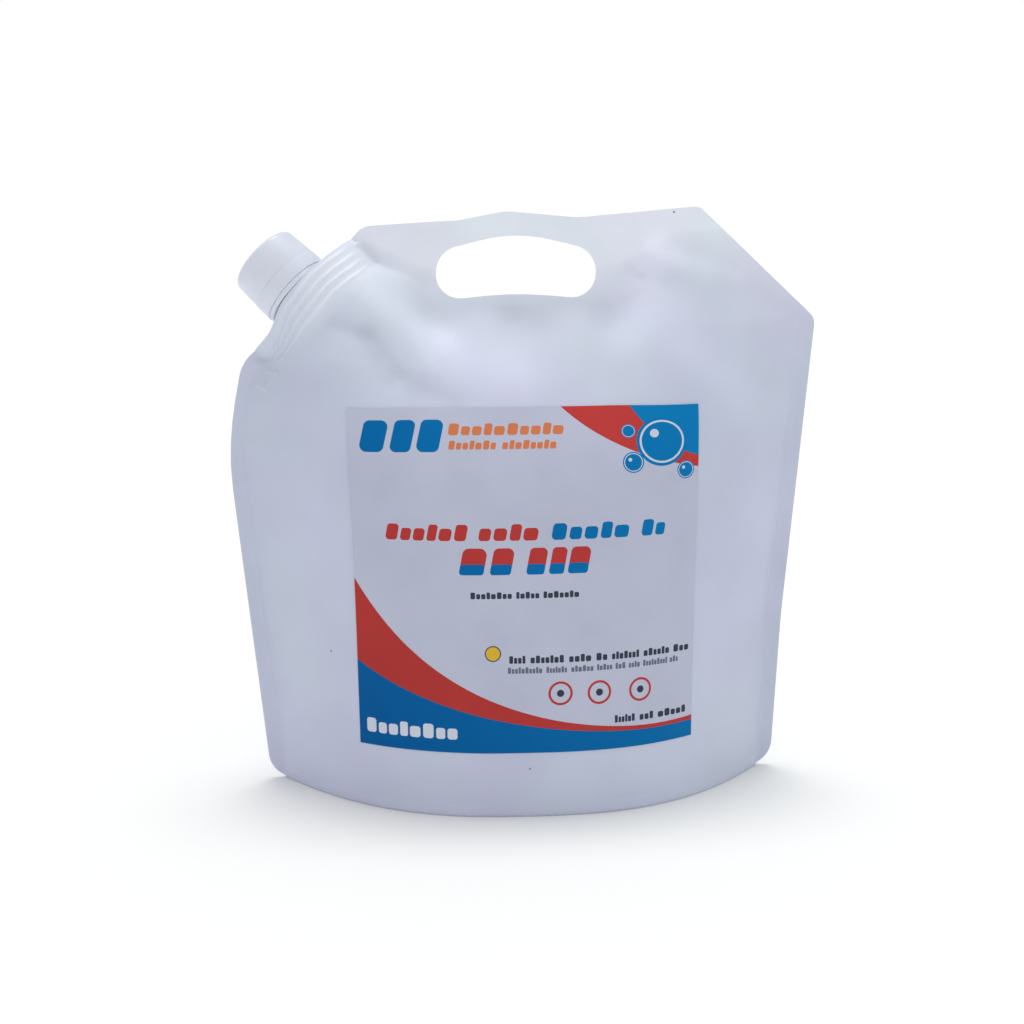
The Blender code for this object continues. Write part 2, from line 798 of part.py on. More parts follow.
def past_edges(points):
    """The outline with the points that lie on the label's edges moved past them."""
    moved = []
    for across, up in points:
        if across <= 0.0:
            across = -FIELD_OVERRUN
        if across >= LABEL_WIDTH:
            across = LABEL_WIDTH + FIELD_OVERRUN
        if up <= 0.0:
            up = -FIELD_OVERRUN
        if up >= LABEL_HEIGHT:
            up = LABEL_HEIGHT + FIELD_OVERRUN
        moved.append((across, up))
    return moved


def blue_band_edge(gap):
    """The border between the red and the blue band, raised by a gap."""
    left = (0.0, BLUE_LEFT_HEIGHT + gap)
    control = (BLUE_BEND[0], BLUE_BEND[1] + gap)
    return bend(left, control, (LABEL_WIDTH, BLUE_RIGHT_HEIGHT + gap))


def red_band_outline():
    upper = bend((0.0, RED_LEFT_HEIGHT), RED_BEND, (LABEL_WIDTH, RED_RIGHT_HEIGHT))
    return past_edges(upper + blue_band_edge(FIELD_GAP)[::-1])


def blue_band_outline():
    return past_edges(blue_band_edge(0.0) + [(LABEL_WIDTH, 0.0), (0.0, 0.0)])


def from_corner(left, down):
    """A place given by its distances from the label's top right corner."""
    return LABEL_WIDTH - left, LABEL_HEIGHT - down


def corner_blue_edge(gap):
    """The border between the red and the blue corner field, moved out from the corner by a gap."""
    head = from_corner(CORNER_BLUE_WIDTH + gap, 0.0)
    control = from_corner(CORNER_BLUE_BEND[0] + gap, CORNER_BLUE_BEND[1] + gap)
    return bend(head, control, from_corner(0.0, CORNER_BLUE_DROP + gap))


def corner_red_outline():
    head = from_corner(CORNER_RED_WIDTH, 0.0)
    lower = bend(head, from_corner(*CORNER_RED_BEND), from_corner(0.0, CORNER_RED_DROP))
    return past_edges(lower + corner_blue_edge(FIELD_GAP)[::-1])


def corner_blue_outline():
    return past_edges(corner_blue_edge(0.0) + [from_corner(0.0, 0.0)])


def build_field(name, outline, parts, cutters, material):
    """A printed field: a sheet over the label, kept inside an outline given from the label's lower left."""
    lift = LABEL_CLEARANCE + LABEL_THICKNESS + CLEARANCE
    sheet = label_sheet(name, lift, INK_THICKNESS, parts, material)
    flat = [on_front(across - LABEL_WIDTH / 2, up) for across, up in outline]
    edge = mark_cutter(prism(name + "_edge", flat, cut_depth(), upright(), cutters))
    combine(sheet, edge, "INTERSECT")
    shade_round(sheet, 40)
    return sheet


def build_fields(parts, cutters):
    red = make_material("label_red", INK_RED, 0.45)
    blue = make_material("label_blue", INK_BLUE, 0.45)
    build_field("label_red_band", red_band_outline(), parts, cutters, red)
    build_field("label_blue_band", blue_band_outline(), parts, cutters, blue)
    build_field("label_corner_red", corner_red_outline(), parts, cutters, red)
    build_field("label_corner_blue", corner_blue_outline(), parts, cutters, blue)


def main():
    clear_scene()
    parts = make_collection("laundry_detergent_refill")
    cutters = make_collection("cutters")
    film = make_material("pouch_film", FILM_WHITE, 0.42)
    moulded = make_material("moulded_white", CAP_WHITE, 0.38)
    foam = make_material("liner_foam", LINER_GREY, 0.75)
    paper = make_material("label_white", LABEL_WHITE, 0.45)
    frame = bpy.data.objects.new("spout_axis", None)
    parts.objects.link(frame)
    build_pouch(parts, cutters, film)
    build_spout(parts, cutters, moulded, frame)
    build_ring(parts, moulded, frame)
    build_cap(parts, cutters, moulded, frame)
    build_liner(parts, foam, frame)
    build_label(parts, paper)
    build_fields(parts, cutters)
    frame.matrix_world = spout_frame()
    bpy.context.view_layer.update()


main()
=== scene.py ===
"""Spout pouch refill: the looks of its film, spout, cap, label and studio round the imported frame."""

import math

import bmesh
import bpy
import numpy as np
from mathutils import Matrix, Vector
from mathutils.geometry import delaunay_2d_cdt
from mathutils.kdtree import KDTree


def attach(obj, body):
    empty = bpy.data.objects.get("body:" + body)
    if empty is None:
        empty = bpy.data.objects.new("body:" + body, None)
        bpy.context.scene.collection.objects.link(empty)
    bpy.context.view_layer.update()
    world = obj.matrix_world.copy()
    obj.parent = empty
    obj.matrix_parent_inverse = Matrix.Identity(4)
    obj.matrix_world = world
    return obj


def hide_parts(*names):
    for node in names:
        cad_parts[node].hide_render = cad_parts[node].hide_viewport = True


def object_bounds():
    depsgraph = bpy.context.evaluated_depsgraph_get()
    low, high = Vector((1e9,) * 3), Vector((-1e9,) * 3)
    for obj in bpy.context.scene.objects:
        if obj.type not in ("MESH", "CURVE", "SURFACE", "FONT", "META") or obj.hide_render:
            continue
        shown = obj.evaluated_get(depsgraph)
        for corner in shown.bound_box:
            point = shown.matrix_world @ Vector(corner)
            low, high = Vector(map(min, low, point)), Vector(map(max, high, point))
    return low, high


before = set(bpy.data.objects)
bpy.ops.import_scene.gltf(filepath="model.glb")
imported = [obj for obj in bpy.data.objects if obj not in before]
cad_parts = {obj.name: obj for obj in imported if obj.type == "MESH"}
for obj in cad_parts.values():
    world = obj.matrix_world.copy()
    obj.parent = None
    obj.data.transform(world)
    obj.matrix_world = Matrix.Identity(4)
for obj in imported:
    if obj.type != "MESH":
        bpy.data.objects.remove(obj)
CAD_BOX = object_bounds()

bl_info = {
    "name": "Spout Pouch Refill",
    "version": (1, 0, 0),
    "blender": (4, 5, 0),
    "location": "View3D > Sidebar > Pouch",
    "description": "Dresses the spout pouch refill: film, spout, cap, label and studio",
    "category": "Object",
}

# Seam outline of the pouch, in metres
POUCH_HEIGHT = 0.3428
BASE_LEFT = 0.1545
BASE_RIGHT = 0.1525
BELLY_LEFT = 0.1755
BELLY_LEFT_DROP = 0.1368
WAIST_RIGHT = 0.1575
WAIST_RIGHT_HEIGHT = 0.0950
SHOULDER_LEFT = 0.1680
SHOULDER_LEFT_DROP = 0.0893
SHOULDER_RIGHT = 0.1742
SHOULDER_RIGHT_DROP = 0.0663
TOP_LEFT = 0.0950
TOP_LEFT_DROP = 0.0095
TOP_RIGHT = 0.1040
TOP_RISE_LEFT = 0.0380
TOP_RISE_DROP = 0.0073
TOP_CREST_LEFT = 0.0100
TOP_CREST_DROP = 0.0020
TOP_DIP_RIGHT = 0.0320
TOP_DIP_DROP = 0.0060
FOOT_CORNER_RADIUS = 0.0160
BELLY_RADIUS = 0.2000
WAIST_RADIUS = 0.4000
SHOULDER_LEFT_RADIUS = 0.0300
SHOULDER_RIGHT_RADIUS = 0.0090
TOP_LEFT_RADIUS = 0.0120
TOP_RIGHT_RADIUS = 0.0080
TOP_WAVE_RADIUS = 0.0300

# Belly, seams and hand hole
BASE_DEPTH = 0.1680
BELLY_HOLE_GAP = 0.0003
BELLY_RISE_POWER = 5.0
BELLY_FADE_POWER = 1.5
BELLY_SIDE_RISE = 0.0220
BELLY_SIDE_REACH = 0.0600
BELLY_SIDE_POWER = 2.6
BLEND_POWER = 3.0
SEAL_WIDTH = 0.0080
LOOSE_REACH = 3 * SEAL_WIDTH
SEAL_THICKNESS = 0.0010
FILM_THICKNESS = 0.0008
HOLE_BAND = 0.0118
HOLE_WIDTH = 0.0940
HOLE_HEIGHT = 0.0402
HOLE_CENTRE_X = -0.0040
HOLE_CREST_RISE = 0.0115
HOLE_FOOT_ARCH = 0.0045
HOLE_FOOT_RADIUS = 0.0140
HOLE_FOOT_ARCH_RADIUS = 0.2000
HOLE_SHOULDER_RADIUS = 0.0155
HOLE_CREST_RADIUS = 0.0850

# The spout's corner, which leans back, and the weld base in it
CORNER_LEAN = math.radians(20.0)
LEAN_START = 0.0600
LEAN_END = 0.0260
WELD_LENGTH = 0.0800
WELD_DEPTH = 0.0400
WELD_TOP = -0.0025
WELD_HEIGHT = 0.0185
WELD_RIB_COUNT = 4
WELD_RIB_WIDTH = 0.0018
WELD_GROOVE_DEPTH = 0.0008
WELD_MARGIN = 0.0040
FILM_RIB_RISE = 0.0008
CHANNEL_LENGTH = 0.0850
CHANNEL_SPREAD = 0.45

# Spout, tamper ring and cap, as radii and heights along the spout's axis
NECK_RADIUS = 0.0189
NECK_TOP = 0.0294
BORE_RADIUS = 0.0159
LIP_ROUNDING = 0.0007
FLANGE_FOOT = 0.0002
COLLAR_RADIUS = 0.0200
BEAD_RISE = 0.0011
BEAD_HEIGHT = 0.0024
THREAD_LEAD = 0.0060
THREAD_FOOT = 0.0185
THREAD_TURNS = 1.5
THREAD_BEAD = 0.00115
THREAD_RISE = 0.0014
CAP_THREAD_TURNS = 1.1
CAP_THREAD_START_TURN = 0.1
CAP_THREAD_BEAD = 0.0010
CAP_THREAD_RISE = 0.00115
RING_FOOT = 0.0046
RING_SKIRT = 0.0013
RING_CAP_GAP = 0.0001
FLANGE_GAP = 0.0001
FLANGE_STEP = 0.0004
RING_RADIUS = 0.0232
RING_WALL = 0.0026
RING_LIP_HEIGHT = 0.0022
CAP_FOOT = 0.0131
CAP_HEIGHT = 0.0199
CAP_FOOT_RADIUS = 0.0230
CAP_END_RADIUS = 0.0220
CAP_END_ROUNDING = 0.0030
CAP_END_THICKNESS = 0.0018
CLEARANCE = 0.0003

# Label and its printed fields, measured along the film from the label's lower left corner
LABEL_CENTRE_X = -0.0033
LABEL_FOOT = 0.0385
LABEL_WIDTH = 0.2030
LABEL_HEIGHT = 0.2000
RED_LEFT_HEIGHT = 0.0988
RED_RIGHT_HEIGHT = 0.0125
RED_BEND = (0.0620, 0.0045)
BLUE_LEFT_HEIGHT = 0.0507
BLUE_RIGHT_HEIGHT = 0.0098
BLUE_BEND = (0.0780, 0.0060)
CORNER_RED_WIDTH = 0.0804
CORNER_RED_DROP = 0.0396
CORNER_RED_BEND = (0.0530, 0.0300)
CORNER_BLUE_WIDTH = 0.0407
CORNER_BLUE_DROP = 0.0327
CORNER_BLUE_BEND = (0.0250, 0.0260)

# Fineness of the surfaces
ARC_STEP = math.radians(4.0)
PROFILE_ARC_STEP = math.radians(15.0)
ROUND_STEPS = 96
CIRCLE_STEPS = 48
GLINT_STEPS = 24
THREAD_STEP = math.radians(6.0)
THREAD_SIDES = 10
THREAD_TAPER_STEPS = 5
THREAD_END_SHARE = 0.15
EDGE_STEP = 0.0016
EDGE_SAMPLE_STEP = 0.0003
RIB_STEP = 0.0007
RIB_RUN_STEP = 0.0022
PATCH_STEP = 0.0009
SLOPE_REACH = 0.0005
WRAP_STEPS = 20
BEND_STEPS = 40
SHARP_ANGLE = math.radians(38.0)
MERGE_REACH = 1e-7

# Rows of points up the rounded foot, as shares of its height
FOOT_ROWS = (0.08, 0.25, 0.5, 0.78)

# White of the film over the weld: share between the ribs, where the lesser white is painted shade in the
# grooves, fade at its ends, share at its low end
WELD_GROOVE_WHITE = 0.35
WELD_END_FADE = 0.0130
WELD_LOW_WHITE = 0.10

# Waver of the film over the ribs: size, length and phase in turns
RIB_WAVER = ((0.00035, 0.031, 0.20), (0.0001, 0.0125, 0.60))

# How far above the belly its darker colour starts, and over what height it grows; the flat film above is
# painted lighter as if light shone through it, the full belly painted darker
FULLNESS_START = 0.020
FULLNESS_REACH = 0.090

# The film drawn in beside the weld's low end: place along the chamfer, reach, depth and fade inwards
PINCH_PLACE = -0.0280
PINCH_REACH = 0.0140
PINCH_DEPTH = 0.0048
PINCH_FADE = 0.025

# Folds and dents of the front film: start, end (x, z), half-width and rise, in metres
FRONT_FOLDS = (
    ((-0.0869, 0.2898), (-0.0480, 0.2620), 0.0100, 0.0030),
    ((-0.0480, 0.2580), (-0.0050, 0.2440), 0.0150, 0.0020),
    ((-0.0800, 0.2560), (-0.0640, 0.2440), 0.0130, -0.0014),
    ((-0.0060, 0.2790), (0.0100, 0.2740), 0.0110, -0.0016),
    ((0.0560, 0.2680), (0.0740, 0.2930), 0.0120, 0.0026),
    ((0.0800, 0.3200), (0.1050, 0.3050), 0.0080, 0.0012),
    ((0.0900, 0.2600), (0.1250, 0.2350), 0.0140, 0.0014),
    ((-0.1072, 0.2746), (-0.0896, 0.2686), 0.0050, -0.0012),
    ((-0.0896, 0.2686), (-0.0757, 0.2469), 0.0055, -0.0014),
    ((-0.0757, 0.2469), (-0.0435, 0.2349), 0.0060, -0.0010),
    ((-0.0604, 0.3002), (-0.0570, 0.2850), 0.0070, -0.0008),
    ((0.0502, 0.2601), (0.0949, 0.2872), 0.0110, 0.0009),
    ((0.0626, 0.3077), (0.0697, 0.3035), 0.0030, -0.0012),
    ((0.0743, 0.3198), (0.1255, 0.3030), 0.0050, 0.0010),
    ((-0.0934, 0.3218), (-0.0858, 0.3139), 0.0026, -0.0013),
    ((-0.1572, 0.2395), (-0.1496, 0.2367), 0.0011, 0.0008),
    ((-0.1496, 0.2367), (-0.1428, 0.2457), 0.0011, 0.0008),
    ((-0.1428, 0.2457), (-0.1500, 0.2480), 0.0011, 0.0006),
)

# Folds that are finer than the film's grid: middle (x, z) and reach
FINE_PATCHES = (((-0.1500, 0.2415), 0.0130), ((-0.0896, 0.3178), 0.0080), ((0.0660, 0.3056), 0.0080))

# Undulations of the filled film: wavelength, direction in degrees, phase in turns, share of the rise
FRONT_WAVES = (
    (0.118, 24.0, 0.10, 0.42),
    (0.083, 71.0, 0.55, 0.30),
    (0.061, 133.0, 0.35, 0.22),
    (0.047, 8.0, 0.80, 0.12),
)
BACK_WAVES = (
    (0.126, 35.0, 0.70, 0.42),
    (0.088, 102.0, 0.20, 0.30),
    (0.066, 151.0, 0.90, 0.20),
    (0.044, 64.0, 0.40, 0.12),
)

# Specks on the film: place (x, z) and radius, then sides, and rise and depth as shares of the radius
SPECKS = (((-0.1159, 0.0907), 0.0006), ((-0.0032, 0.0287), 0.0006), ((0.0889, 0.3395), 0.0006))
SPECK_SIDES = 12
SPECK_RISE = 0.25
SPECK_DEPTH = 0.5
SPECK_BROWNS = ((0.16, 0.12, 0.11), (0.32, 0.26, 0.24))

# Spans of values that the finishes spread out: noise, pores, patches, folds' rise (which paints highlight on
# crests and shade in dents), distance from a rim
NOISE_SPAN = (0.3, 0.7)
PORE_SPAN = (0.35, 0.65)
PATCH_SPAN = (0.38, 0.62)
FOLD_SPAN = (-0.0020, 0.0030)
SEAM_SPAN = (0.0070, 0.0086)

# Stretches of the label over which its inks grow lighter, to the right and up, as painted light
LIT_ACROSS = (-0.10, 0.10)
LIT_UP = (0.04, 0.24)

# Warm and cool tint of the film's patches
PATCH_TINTS = ((1.0, 0.975, 1.01), (0.985, 1.015, 1.0))

# Tone of the welded seams and how much of it shows, and shares of the film's fine relief
SEAM_SHADE = 0.96
SEAM_SHARE = 0.06
GRAIN_SHARE = 0.10
SLOW_SHARE = 0.45
PRESSED_SHARE = 0.5

# Mirror sheen of film and label
FILM_SPECULAR = 0.30
INK_SPECULAR = 0.05

# Shares of the even light from the far left and the far right, its tint, and the background
AMBIENT_SIDES = (0.92, 1.12)
AMBIENT_TINT = (0.97, 0.98, 1.0, 1.0)
BACKGROUND = (1.0, 1.0, 1.0, 1.0)

# Camera's sensor in millimetres, and how far it sees in metres
SENSOR_WIDTH = 36.0
SIGHT = 50.0

# Rows of printed blocks: piece, foot, height, slant, and words as (start, end, blocks)
BLOCK_ROWS = (
    ("orange", 0.1828, 0.0072, 0.18, ((0.0575, 0.1245, 10),)),
    ("orange", 0.1743, 0.0053, 0.18, ((0.0575, 0.0850, 7), (0.0880, 0.1195, 8))),
    ("red", 0.1225, 0.0092, 0.20, ((0.0202, 0.0678, 6), (0.0730, 0.1084, 4))),
    ("blue", 0.1225, 0.0092, 0.20, ((0.1142, 0.1607, 5), (0.1665, 0.1820, 2))),
    ("dark", 0.0899, 0.0038, 0.0, ((0.0685, 0.0923, 8), (0.0942, 0.1077, 5), (0.1096, 0.1305, 7))),
    (
        "dark", 0.0526, 0.0044, 0.0,
        ((0.0900, 0.0995, 4), (0.1020, 0.1215, 7), (0.1240, 0.1375, 4),
         (0.1398, 0.1468, 2), (0.1490, 0.1660, 7), (0.1685, 0.1860, 6), (0.1885, 0.2000, 3)),
    ),
    (
        "grey", 0.0468, 0.0036, 0.0,
        ((0.0892, 0.1090, 10), (0.1110, 0.1230, 7), (0.1252, 0.1385, 6), (0.1402, 0.1495, 5),
         (0.1512, 0.1575, 3), (0.1592, 0.1665, 4), (0.1682, 0.1845, 9), (0.1860, 0.1920, 3)),
    ),
    ("dark", 0.0152, 0.0044, 0.0, ((0.1508, 0.1635, 6), (0.1662, 0.1755, 3), (0.1782, 0.1985, 5))),
    ("white", 0.0078, 0.0086, 0.0, ((0.0052, 0.0618, 8),)),
)

# Rows of blocks that are all as high as the row
LEVEL_ROWS = (
    ("blue", 0.1728, 0.0196, 0.22, ((0.0062, 0.0550, 3),)),
    ("red", 0.1034, 0.0150, 0.20, ((0.0619, 0.0940, 2), (0.0997, 0.1375, 3))),
    ("blue", 0.1034, 0.0060, 0.20, ((0.0619, 0.0940, 2), (0.0997, 0.1375, 3))),
)

# Widths and heights of the blocks in turn, their share of the row's pitch, and their corners
BLOCK_WIDTH_RHYTHM = (1.08, 0.92, 1.00, 0.84, 1.12)
BLOCK_HEIGHT_RHYTHM = (1.00, 0.76, 0.76, 1.00, 0.76)
BLOCK_SHARE = 0.80
BLOCK_ROUNDING = 0.28

# Round print: place (across, up), outer radius, and the painting order of piece and share of the radius
BUBBLE = (("blue", 1.0), ("white", 0.88), ("blue", 0.80))
RING = (("red", 1.0), ("sheet", 0.80), ("dark", 0.30))
ROUND_PRINT = (
    ((0.1802, 0.1772), 0.0150, BUBBLE),
    ((0.1630, 0.1650), 0.0062, BUBBLE),
    ((0.1608, 0.1838), 0.0042, BUBBLE),
    ((0.1946, 0.1592), 0.0054, BUBBLE),
    ((0.1190, 0.0347), 0.0070, RING),
    ((0.1416, 0.0340), 0.0070, RING),
    ((0.1665, 0.0335), 0.0070, RING),
    ((0.0808, 0.0584), 0.0046, (("dark", 1.0), ("yellow", 0.86))),
)
BUBBLE_GLINTS = (((0.1758, 0.1822), 0.0026), ((0.1612, 0.1666), 0.0011), ((0.1931, 0.1606), 0.0010))


class FilmSettings(bpy.types.PropertyGroup):
    grid_step: bpy.props.FloatProperty(
        name="Grid Step",
        description="Distance between points of the film's surface",
        default=0.0024,
        min=0.001,
        unit="LENGTH",
    )
    wave_rise: bpy.props.FloatProperty(
        name="Undulation",
        description="How far the filled film swells and sinks",
        default=0.0008,
        unit="LENGTH",
    )
    fold_share: bpy.props.FloatProperty(
        name="Folds",
        description="Share of the folds' full rise",
        default=1.0,
        subtype="FACTOR",
    )
    foot_rounding: bpy.props.FloatProperty(
        name="Foot Rounding",
        description="Radius of the fold between the standing film and the base",
        default=0.0007,
        unit="LENGTH",
    )
    # Painted light: the flat film is coloured lighter, as if light shone through it, and the full film darker
    full_colour: bpy.props.FloatVectorProperty(
        name="Full Film",
        description="Colour of the film where liquid or air stands behind it",
        default=(0.570, 0.603, 0.735),
        size=3,
        subtype="COLOR",
    )
    thin_colour: bpy.props.FloatVectorProperty(
        name="Flat Film",
        description="Colour of the film where front and back lie together and light comes through",
        default=(0.840, 0.872, 0.955),
        size=3,
        subtype="COLOR",
    )
    roughness: bpy.props.FloatProperty(
        name="Roughness",
        description="Middle roughness of the satin film",
        default=0.42,
        subtype="FACTOR",
    )


class SpoutSettings(bpy.types.PropertyGroup):
    edge_rounding: bpy.props.FloatProperty(
        name="Edge Rounding",
        description="Radius of the moulded edges of cap and ring",
        default=0.0005,
        unit="LENGTH",
    )
    white: bpy.props.FloatVectorProperty(
        name="Moulded White",
        description="Colour of spout, ring and cap",
        default=(0.700, 0.730, 0.830),
        size=3,
        subtype="COLOR",
    )
    wad_grey: bpy.props.FloatVectorProperty(
        name="Wad",
        description="Colour of the foam wad in the cap",
        default=(0.66, 0.68, 0.70),
        size=3,
        subtype="COLOR",
    )
    roughness: bpy.props.FloatProperty(
        name="Roughness",
        description="Middle roughness of the moulded pieces",
        default=0.40,
        subtype="FACTOR",
    )


class LabelSettings(bpy.types.PropertyGroup):
    grid_step: bpy.props.FloatProperty(
        name="Grid Step",
        description="Distance between points of the label's surface",
        default=0.0028,
        min=0.001,
        unit="LENGTH",
    )
    lift: bpy.props.FloatProperty(
        name="Lift",
        description="Height of the label's back over the film",
        default=0.00030,
        unit="LENGTH",
    )
    thickness: bpy.props.FloatProperty(
        name="Thickness",
        description="Thickness of the label with its print",
        default=0.00035,
        unit="LENGTH",
    )
    white: bpy.props.FloatVectorProperty(
        name="Label White",
        description="Colour of the bare label",
        default=(0.510, 0.535, 0.660),
        size=3,
        subtype="COLOR",
    )
    red: bpy.props.FloatVectorProperty(
        name="Red Ink",
        description="Colour of the red fields low on the label",
        default=(0.425, 0.040, 0.036),
        size=3,
        subtype="COLOR",
    )
    # Red lightened by painted light high on the label
    painted_lit_red: bpy.props.FloatVectorProperty(
        name="Lit Red Ink",
        description="Colour of the red fields high on the label",
        default=(0.540, 0.052, 0.047),
        size=3,
        subtype="COLOR",
    )
    blue: bpy.props.FloatVectorProperty(
        name="Blue Ink",
        description="Colour of the blue fields at the label's left",
        default=(0.000, 0.095, 0.310),
        size=3,
        subtype="COLOR",
    )
    # Blue lightened by painted light at the label's right
    painted_lit_blue: bpy.props.FloatVectorProperty(
        name="Lit Blue Ink",
        description="Colour of the blue fields at the label's right",
        default=(0.003, 0.200, 0.490),
        size=3,
        subtype="COLOR",
    )
    orange: bpy.props.FloatVectorProperty(
        name="Orange Ink",
        description="Colour of the orange blocks",
        default=(0.66, 0.200, 0.085),
        size=3,
        subtype="COLOR",
    )
    dark: bpy.props.FloatVectorProperty(
        name="Dark Ink",
        description="Colour of the dark blocks",
        default=(0.045, 0.050, 0.080),
        size=3,
        subtype="COLOR",
    )
    grey: bpy.props.FloatVectorProperty(
        name="Grey Ink",
        description="Colour of the faint blocks",
        default=(0.150, 0.160, 0.230),
        size=3,
        subtype="COLOR",
    )
    yellow: bpy.props.FloatVectorProperty(
        name="Yellow Ink",
        description="Colour of the yellow dot",
        default=(0.72, 0.46, 0.040),
        size=3,
        subtype="COLOR",
    )
    bare: bpy.props.FloatVectorProperty(
        name="White Print",
        description="Colour of the white blocks and bubbles",
        default=(0.62, 0.65, 0.74),
        size=3,
        subtype="COLOR",
    )


class StudioSettings(bpy.types.PropertyGroup):
    floor_size: bpy.props.FloatProperty(
        name="Floor Size",
        description="Side of the pale floor",
        default=16.0,
        unit="LENGTH",
    )
    floor_colour: bpy.props.FloatVectorProperty(
        name="Floor",
        description="Colour of the floor",
        default=(0.935, 0.940, 0.920),
        size=3,
        subtype="COLOR",
    )
    key_strength: bpy.props.FloatProperty(
        name="Key Strength",
        description="Strength of the broad light from above",
        default=1.28,
    )
    key_spread: bpy.props.FloatProperty(
        name="Key Spread",
        description="Angle that the broad light fills, for soft shadows",
        default=math.radians(28.0),
        subtype="ANGLE",
    )
    key_tilt: bpy.props.FloatProperty(
        name="Key Tilt",
        description="Lean of the broad light, to the front when positive and to the back when negative",
        default=math.radians(-12.0),
        subtype="ANGLE",
    )
    ambient: bpy.props.FloatProperty(
        name="Ambient",
        description="Strength of the even light from all round",
        default=0.705,
    )
    azimuth: bpy.props.FloatProperty(
        name="Camera Azimuth",
        description="Turn of the camera round the pouch, to the left of the front",
        default=math.radians(4.0),
        subtype="ANGLE",
    )
    elevation: bpy.props.FloatProperty(
        name="Camera Elevation",
        description="Height angle of the camera over the pouch",
        default=math.radians(11.0),
        subtype="ANGLE",
    )
    roll: bpy.props.FloatProperty(
        name="Camera Roll",
        description="Turn of the camera about its own line of sight",
        default=math.radians(0.25),
        subtype="ANGLE",
    )
    distance: bpy.props.FloatProperty(
        name="Camera Distance",
        description="Distance of the camera from the point it looks at",
        default=1.200,
        unit="LENGTH",
    )
    target: bpy.props.FloatVectorProperty(
        name="Camera Target",
        description="Point at the middle of the picture",
        default=(-0.007, 0.0, 0.162),
        size=3,
        subtype="TRANSLATION",
    )
    field: bpy.props.FloatProperty(
        name="Picture Width",
        description="Width of the picture at the target",
        default=0.6144,
        unit="LENGTH",
    )


# Outline and film form


def rounded(corners, arc_step=ARC_STEP):
    """Points of a closed outline whose corners (across, up, radius) are rounded, or sharp at radius 0."""
    points = []
    for index, (across, up, radius) in enumerate(corners):
        here = Vector((across, up))
        if radius <= 0.0:
            points.append(here)
            continue
        before = Vector(corners[index - 1][:2])
        after = Vector(corners[(index + 1) % len(corners)][:2])
        inward = (here - before).normalized()
        outward = (after - here).normalized()
        turn = inward.angle_signed(outward)
        start = here - inward * radius * math.tan(abs(turn) / 2)
        centre = start + Vector((inward.y, -inward.x)) * math.copysign(radius, turn)
        steps = max(2, round(abs(turn) / arc_step))
        for step in range(steps + 1):
            points.append(centre + Matrix.Rotation(-turn * step / steps, 2) @ (start - centre))
    return np.array(points)


def outline_corners():
    """Corners (x, z, radius) of the flat seam outline, from the bottom left and up the left side."""
    return [
        (-BASE_LEFT, 0.0, FOOT_CORNER_RADIUS),
        (-BELLY_LEFT, POUCH_HEIGHT - BELLY_LEFT_DROP, BELLY_RADIUS),
        (-SHOULDER_LEFT, POUCH_HEIGHT - SHOULDER_LEFT_DROP, SHOULDER_LEFT_RADIUS),
        (-TOP_LEFT, POUCH_HEIGHT - TOP_LEFT_DROP, TOP_LEFT_RADIUS),
        (-TOP_RISE_LEFT, POUCH_HEIGHT - TOP_RISE_DROP, TOP_WAVE_RADIUS),
        (-TOP_CREST_LEFT, POUCH_HEIGHT - TOP_CREST_DROP, TOP_WAVE_RADIUS),
        (TOP_DIP_RIGHT, POUCH_HEIGHT - TOP_DIP_DROP, TOP_WAVE_RADIUS),
        (TOP_RIGHT, POUCH_HEIGHT, TOP_RIGHT_RADIUS),
        (SHOULDER_RIGHT, POUCH_HEIGHT - SHOULDER_RIGHT_DROP, SHOULDER_RIGHT_RADIUS),
        (WAIST_RIGHT, WAIST_RIGHT_HEIGHT, WAIST_RADIUS),
        (BASE_RIGHT, 0.0, FOOT_CORNER_RADIUS),
    ]


def hole_crest():
    """Height of the hand hole's highest point."""
    return POUCH_HEIGHT - TOP_CREST_DROP - HOLE_BAND


def hole_foot():
    """Height of the hand hole's lower corners."""
    return hole_crest() - HOLE_HEIGHT


def hole_corners():
    """Corners (x, z, radius) of the hand hole."""
    left = HOLE_CENTRE_X - HOLE_WIDTH / 2
    right = HOLE_CENTRE_X + HOLE_WIDTH / 2
    shoulder = hole_crest() - HOLE_CREST_RISE
    return [
        (left, hole_foot(), HOLE_FOOT_RADIUS),
        (left, shoulder, HOLE_SHOULDER_RADIUS),
        (HOLE_CENTRE_X, hole_crest(), HOLE_CREST_RADIUS),
        (right, shoulder, HOLE_SHOULDER_RADIUS),
        (right, hole_foot(), HOLE_FOOT_RADIUS),
        (HOLE_CENTRE_X, hole_foot() + HOLE_FOOT_ARCH, HOLE_FOOT_ARCH_RADIUS),
    ]


def smooth(share):
    """A share from 0 to 1, eased at both ends."""
    share = np.clip(share, 0.0, 1.0)
    return share * share * (3 - 2 * share)


def edge_x(z, corners):
    """Where a side of the outline, given as corners from foot to head, stands at heights z."""
    return np.interp(z, [corner[1] for corner in corners], [corner[0] for corner in corners])


def flat_seat():
    """The middle (x, z) of the left chamfer of the flat outline."""
    across = -(SHOULDER_LEFT + TOP_LEFT) / 2
    return np.array((across, POUCH_HEIGHT - (SHOULDER_LEFT_DROP + TOP_LEFT_DROP) / 2))


def flat_directions():
    """Unit vectors (x, z), square to each other: out over the left chamfer and up along it."""
    along = np.array((SHOULDER_LEFT - TOP_LEFT, SHOULDER_LEFT_DROP - TOP_LEFT_DROP))
    along /= np.linalg.norm(along)
    return np.array((-along[1], along[0])), along


def chamfer_place(x, z):
    """Distances of film points out over the chamfer and up along it."""
    out, along = flat_directions()
    apart = np.column_stack((x, z)) - flat_seat()
    return apart @ out, apart @ along


def lens_radius(half_length, half_depth):
    """Radius of the two arcs that bound a lens."""
    return (half_length ** 2 + half_depth ** 2) / (2 * half_depth)


